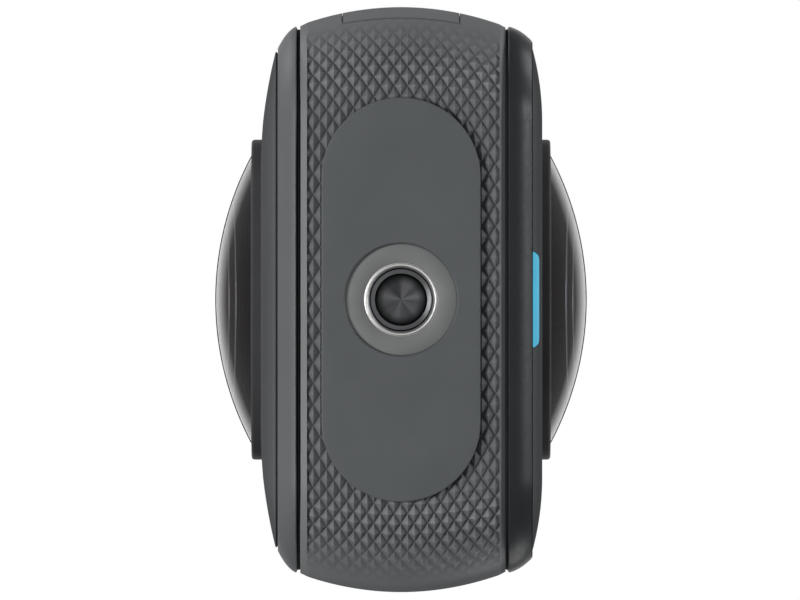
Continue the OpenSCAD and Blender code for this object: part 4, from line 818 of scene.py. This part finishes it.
# lens: bezel, dome, and a barrel with a stepped hood and inner lens that are cemented into the dome, so no
# light is turned back behind the glass
lens = dict(bezelOuter=13.18, bezelInner=12.08, bezelLow=9.7, bezelTop=12.3, bezelEase=0.3,
            domeRadius=12.1, domeSeat=11.3, domeEdge=12.2, domeApex=15.3, domeThick=1.3,
            rimInset=0.1, rimRise=0.05, rimDrop=0.08,  # chamfer round the dome's rim
            barrelOuter=11.8, barrelTop=10.9, barrelBack=6.4, bore=4.65, throat=6.05, throatStep=8.4,
            throatDrop=0.1,
            hood=(12.05, 6.25), hoodSteps=14,  # stepped rings that fill the dome up to its inner lens
            innerRadius=6.0, innerBack=8.4, innerRim=12.75, innerApex=13.95,
            rings=((6.15, 13.0, 0.4), (7.76, 12.56, 0.35)),  # that hold it: radius, way out, half thickness
            cement=0.03,  # how far the glass laps over what it is cemented to
            sharp=15)
domeRadius, domeEdge, domeApex = lens["domeRadius"], lens["domeEdge"], lens["domeApex"]
domeRise, domeBack = domeApex - domeEdge, lens["domeSeat"] - lens["cement"]
domeBall = (domeRadius ** 2 + domeRise ** 2) / (2 * domeRise)
insideBall, ballCentre = domeBall - lens["domeThick"], domeApex - domeBall
domeRows = [(0, domeBack), (domeRadius, domeBack), (domeRadius, domeEdge - lens["rimDrop"]),
            *capRows(domeRadius - lens["rimInset"], domeEdge + lens["rimRise"], domeApex, 40)]
bezelRows = ringRows(lens["bezelInner"], lens["bezelOuter"], lens["bezelLow"], lens["bezelTop"],
                     lens["bezelEase"], 6)
stepR = np.linspace(*lens["hood"], lens["hoodSteps"])
stepTop = np.maximum(ballCentre + np.sqrt(insideBall ** 2 - stepR ** 2), lens["domeSeat"])
throat, throatStep, barrelOuter = lens["throat"], lens["throatStep"], lens["barrelOuter"]
barrelTop, barrelBack = lens["barrelTop"], lens["barrelBack"]
barrelRows = [(lens["bore"], throatStep), (lens["bore"], barrelBack), (barrelOuter, barrelBack),
              (barrelOuter, barrelTop), (lens["hood"][0], barrelTop),
              *np.stack([np.repeat(stepR, 2)[1:], np.repeat(stepTop, 2)[:-1]], 1),
              (throat, stepTop[-1] - lens["throatDrop"]), (throat, throatStep)]
innerRows = [(0, lens["innerBack"]), (lens["innerRadius"], lens["innerBack"]),
             *capRows(lens["innerRadius"], lens["innerRim"], lens["innerApex"], 32)]
lensParts = [("bezel", bezelRows, True, "bezel_metal", None), ("dome", domeRows, False, "dome_glass", None),
             ("barrel", barrelRows, True, "black_polymer", "barrel_flock"),
             ("inner_lens", innerRows, False, "optical_glass", None)]
for side in ("front", "rear"):
    for part, rows, closed, slotName, finish in lensParts:
        mesh = makeMesh(part, turned(side, (0, lensZ), rows, 48, closed))
        node = side + "_" + part
        makePiece(node + "_turned", mesh, "body", slotName, node, lens["sharp"], finish)
    rings = [turned(side, (0, lensZ), arcRows((radius, out), thick, 0, 360, 17)[:-1], 48, True)
             for radius, out, thick in lens["rings"]]
    makePiece(side + "_lens_rings_turned", makeMesh("rings", joined(rings)), "body", "bezel_metal",
              finish="ring_metal")
print("lenses made")

# screen glass with a curved edge
screen = dict(radius=17.0, low=10.25, top=11.25, edge=0.6)
edgeSpot = (screen["radius"] - screen["edge"], screen["top"] - screen["edge"])
screenRows = [(0, screen["low"]), (screen["radius"], screen["low"]),
              *arcRows(edgeSpot, screen["edge"], 0, 90, 9), (0, screen["top"])]
makePiece("screen_glass_curved", makeMesh("screen", turned("front", (0, screenZ), screenRows, 48)), "body",
          "screen_glass", "screen_glass")

# shutter: a round button whose dish deepens with the square of the way in from its rim
shutter = dict(radius=5.8, low=9.2, top=11.15, dish=0.35, rim=0.7, ease=0.3)
shutterRadius, shutterTop, dish = shutter["radius"], shutter["top"], shutter["dish"]
dishR = np.linspace(shutterRadius - shutter["rim"], 0, 12)
dishRows = np.stack([dishR, shutterTop - dish + dish * (dishR / dishR[0]) ** 2], 1)
sideRows = eased([(0, shutter["low"]), (shutterRadius, shutter["low"]), (shutterRadius, shutterTop),
                  dishRows[0]], shutter["ease"], 6, closed=False)
shutterSolid = turned("front", (0, shutterZ), np.concatenate([sideRows[:-1], dishRows]), 32)
makePiece("shutter_button_dished", makeMesh("shutter", shutterSolid), "shutter", "button_polymer",
          "shutter_button")

# power button: a pill with a slightly domed face
power = dict(half=(2.0, 5.0), low=20.6, dome=0.12, domeShare=0.4, ease=0.25)
powerRadius, powerFace = power["half"][0], -nodeBox("power_button")[0][0]
powerRows = eased([(0, power["low"], 0), (powerRadius, power["low"], 1),
                   (powerRadius, powerFace - power["dome"], 1), (0, powerFace, power["domeShare"])],
                  power["ease"], 6, closed=False)
powerRows = np.concatenate([powerRows, [(0, powerFace, 0)]])
powerSolid = sweep("left", (0, powerZ), (0, power["half"][1] - powerRadius), powerRows)
makePiece("power_button_domed", makeMesh("power", powerSolid), "power", "button_polymer", "power_button")
print("screen and buttons made")

# finishes of the solids that stay
keptFinishes = dict(
    screw_steel=["front_frame_screws", "rear_frame_screws", "lens_tube_screws", "usb_socket", "shield_can",
                 "card_cage"],
    chassis_alloy=["chassis", "lens_tube"],
    black_rubber=["front_dome_seal", "rear_dome_seal", "usb_door_seal", "battery_seal"],
    optical_glass=["front_prism", "rear_prism"],
    circuit_board=["front_sensor_board", "rear_sensor_board", "front_board", "main_board"],
    black_polymer=["front_sensor", "rear_sensor", "display_panel", "shutter_switch", "power_switch",
                   "battery_connector", "memory_card", "microphones", "speaker"],
    light_guide=["status_leds"],
    thermal_rubber=["thermal_pad"],
    copper_sheet=["heat_spreader"],
    gold_contacts=["battery_contacts"])
for slotName, names in keptFinishes.items():
    for name in names:
        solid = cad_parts[name]
        solid.data.materials.clear()
        solid.data.materials.append(finishes[slotName]["material"])
print("solids finished:", sum(len(names) for names in keptFinishes.values()))

# floor: pale, seen only from above, and it keeps the object's shadow
stage = dict(reach=3.0, below=0.05, colour="#f6f6f6", fill=0.2)
reach, floorZ = stage["reach"], -stage["below"] * mm
floorMesh = bpy.data.meshes.new("floor")
floorMesh.from_pydata([(-reach, -reach, floorZ), (reach, -reach, floorZ), (reach, reach, floorZ),
                       (-reach, reach, floorZ)], [], [(0, 1, 2, 3)])
floor = place("floor", floorMesh)
floorMaterial = bpy.data.materials.new("floor_paper_pale")
floorMaterial.use_nodes = True
tree = floorMaterial.node_tree
tree.nodes.clear()
under = addNode(tree, "NewGeometry").outputs["Backfacing"]
paper = addNode(tree, "BsdfDiffuse", None, {"Color": linear(stage["colour"])})
clear = addNode(tree, "BsdfTransparent")
shown = addNode(tree, "MixShader", None, None, {0: under, 1: paper.outputs[0], 2: clear.outputs[0]})
addNode(tree, "OutputMaterial", None, None, {"Surface": shown.outputs[0]})
floorMesh.materials.append(floorMaterial)
floor.visible_shadow = floor.visible_diffuse = floor.visible_glossy = floor.visible_transmission = False

# card: black, high above the body and seen only in reflections, as one is set to draw an edge on glass
cardShape = dict(height=1.0, radius=0.17, corners=64)
cardRim = arcRows((0, 0), cardShape["radius"], 0, 360, cardShape["corners"] + 1)[:-1]
cardPoints = np.column_stack([cardRim, np.full(len(cardRim), cardShape["height"])])
cardMesh = bpy.data.meshes.new("card")
cardMesh.from_pydata(cardPoints.tolist(), [], [tuple(range(len(cardRim)))])
card = place("card", cardMesh)
flock = makeFinish("card_black_flocked", "#040404", "#060606", 40, 2.0, (0.9, 1.0), 0.1,
                   Specular_IOR_Level=0.0)
cardMesh.materials.append(flock["material"])
card.visible_camera = card.visible_shadow = card.visible_diffuse = card.visible_transmission = False

# world: white to the eye. Gloss and glass see that white where the backdrop and the wall behind the camera
# are, and the dim room beside them; the rest of the light is that room's plain fill.
backdrop = dict(above=(0.85, 0.95), below=(-0.90, -0.95))   # cosine of the angle from the body's length
world = bpy.data.worlds.new("studio")
bpy.context.scene.world = world
world.use_nodes = True
tree = world.node_tree
tree.nodes.clear()
rays = addNode(tree, "LightPath").outputs
way = addNode(tree, "TexCoord").outputs["Generated"]
height = addNode(tree, "SeparateXYZ", None, None, {0: way}).outputs["Z"]
above, below = (addNode(tree, "MapRange", None, {"From Min": start, "From Max": end},
                        {"Value": height}).outputs["Result"] for start, end in backdrop.values())
white = addNode(tree, "Math", {"operation": "MAXIMUM"}, None, {0: above, 1: below}).outputs[0]
glossOrGlass = addNode(tree, "Math", {"operation": "MAXIMUM"}, None,
                       {0: rays["Is Glossy Ray"], 1: rays["Is Transmission Ray"]}).outputs[0]
glossSees = addNode(tree, "Math", {"operation": "MULTIPLY"}, None, {0: glossOrGlass, 1: white}).outputs[0]
shows = addNode(tree, "Math", {"operation": "MAXIMUM"}, None, {0: rays["Is Camera Ray"], 1: glossSees})
level = addNode(tree, "MapRange", None, {"To Min": stage["fill"], "To Max": 1.0}, {"Value": shows.outputs[0]})
sky = addNode(tree, "Background", None, {"Color": (1, 1, 1, 1)}, {"Strength": level.outputs["Result"]})
addNode(tree, "OutputWorld", None, None, {"Surface": sky.outputs[0]})


# where a lamp or camera stands, from its own right, up and back directions and its place
def standing(right, upward, back, spot):
    return Matrix([*zip(right, upward, back, spot), (0, 0, 0, 1)])


# lamps: where each stands seen from the object, its size, and how bright it makes a facing white surface. Low
# ones aim at the base and the others at the middle, and the last is seen in no gloss.
lamps = dict(
    baseKey=dict(away=(-0.03, 0.55, -0.52), size=0.30, level=1.0),
    edgeKey=dict(away=(-0.15, -1.0, -0.16), size=0.24, level=0.5),
    frontKey=dict(away=(-0.5, -0.85, 0.4), size=0.6, level=0.45),
    frontFill=dict(away=(0.8, -0.45, 0.4), size=0.6, level=0.3),
    backKey=dict(away=(-0.65, 0.85, 0.4), size=0.6, level=0.4),
    topSoft=dict(away=(0.1, 0.05, 1.1), size=0.7, level=0.45, seen=False))
for name, lamp in lamps.items():
    light = bpy.data.lights.new(name, "AREA")
    light.shape = "DISK"
    light.size = lamp["size"]
    away = np.array(lamp["away"])
    light.energy = lamp["level"] * math.pi ** 2 * float(away @ away)
    source = place(name, light)
    aim = np.array([0, 0, 0.0 if away[2] < 0 else midZ * mm])
    back = away / np.linalg.norm(away)
    across = np.cross([0.0, 1.0, 0.0], back)
    across /= np.linalg.norm(across)
    source.matrix_world = standing(across, np.cross(back, across), back, aim + away)
    source.visible_transmission = False
    source.visible_glossy = lamp.get("seen", True)

# camera: under the base, looking up along the body, with the front to the right
view = dict(lens=1100.0, sensor=36.0, distance=1.9215, aside=(0.03, 0.08), clip=(0.01, 100))
eye = bpy.data.cameras.new("camera")
eye.lens, eye.sensor_width = view["lens"], view["sensor"]
eye.clip_start, eye.clip_end = view["clip"]
camera = place("camera", eye)
eyeSpot = (view["aside"][0] * mm, view["aside"][1] * mm, -view["distance"])
camera.matrix_world = standing((0, -1, 0), (-1, 0, 0), (0, 0, -1), eyeSpot)
bpy.context.scene.camera = camera
bpy.context.scene.view_settings.view_transform = "Standard"
print("stage set")
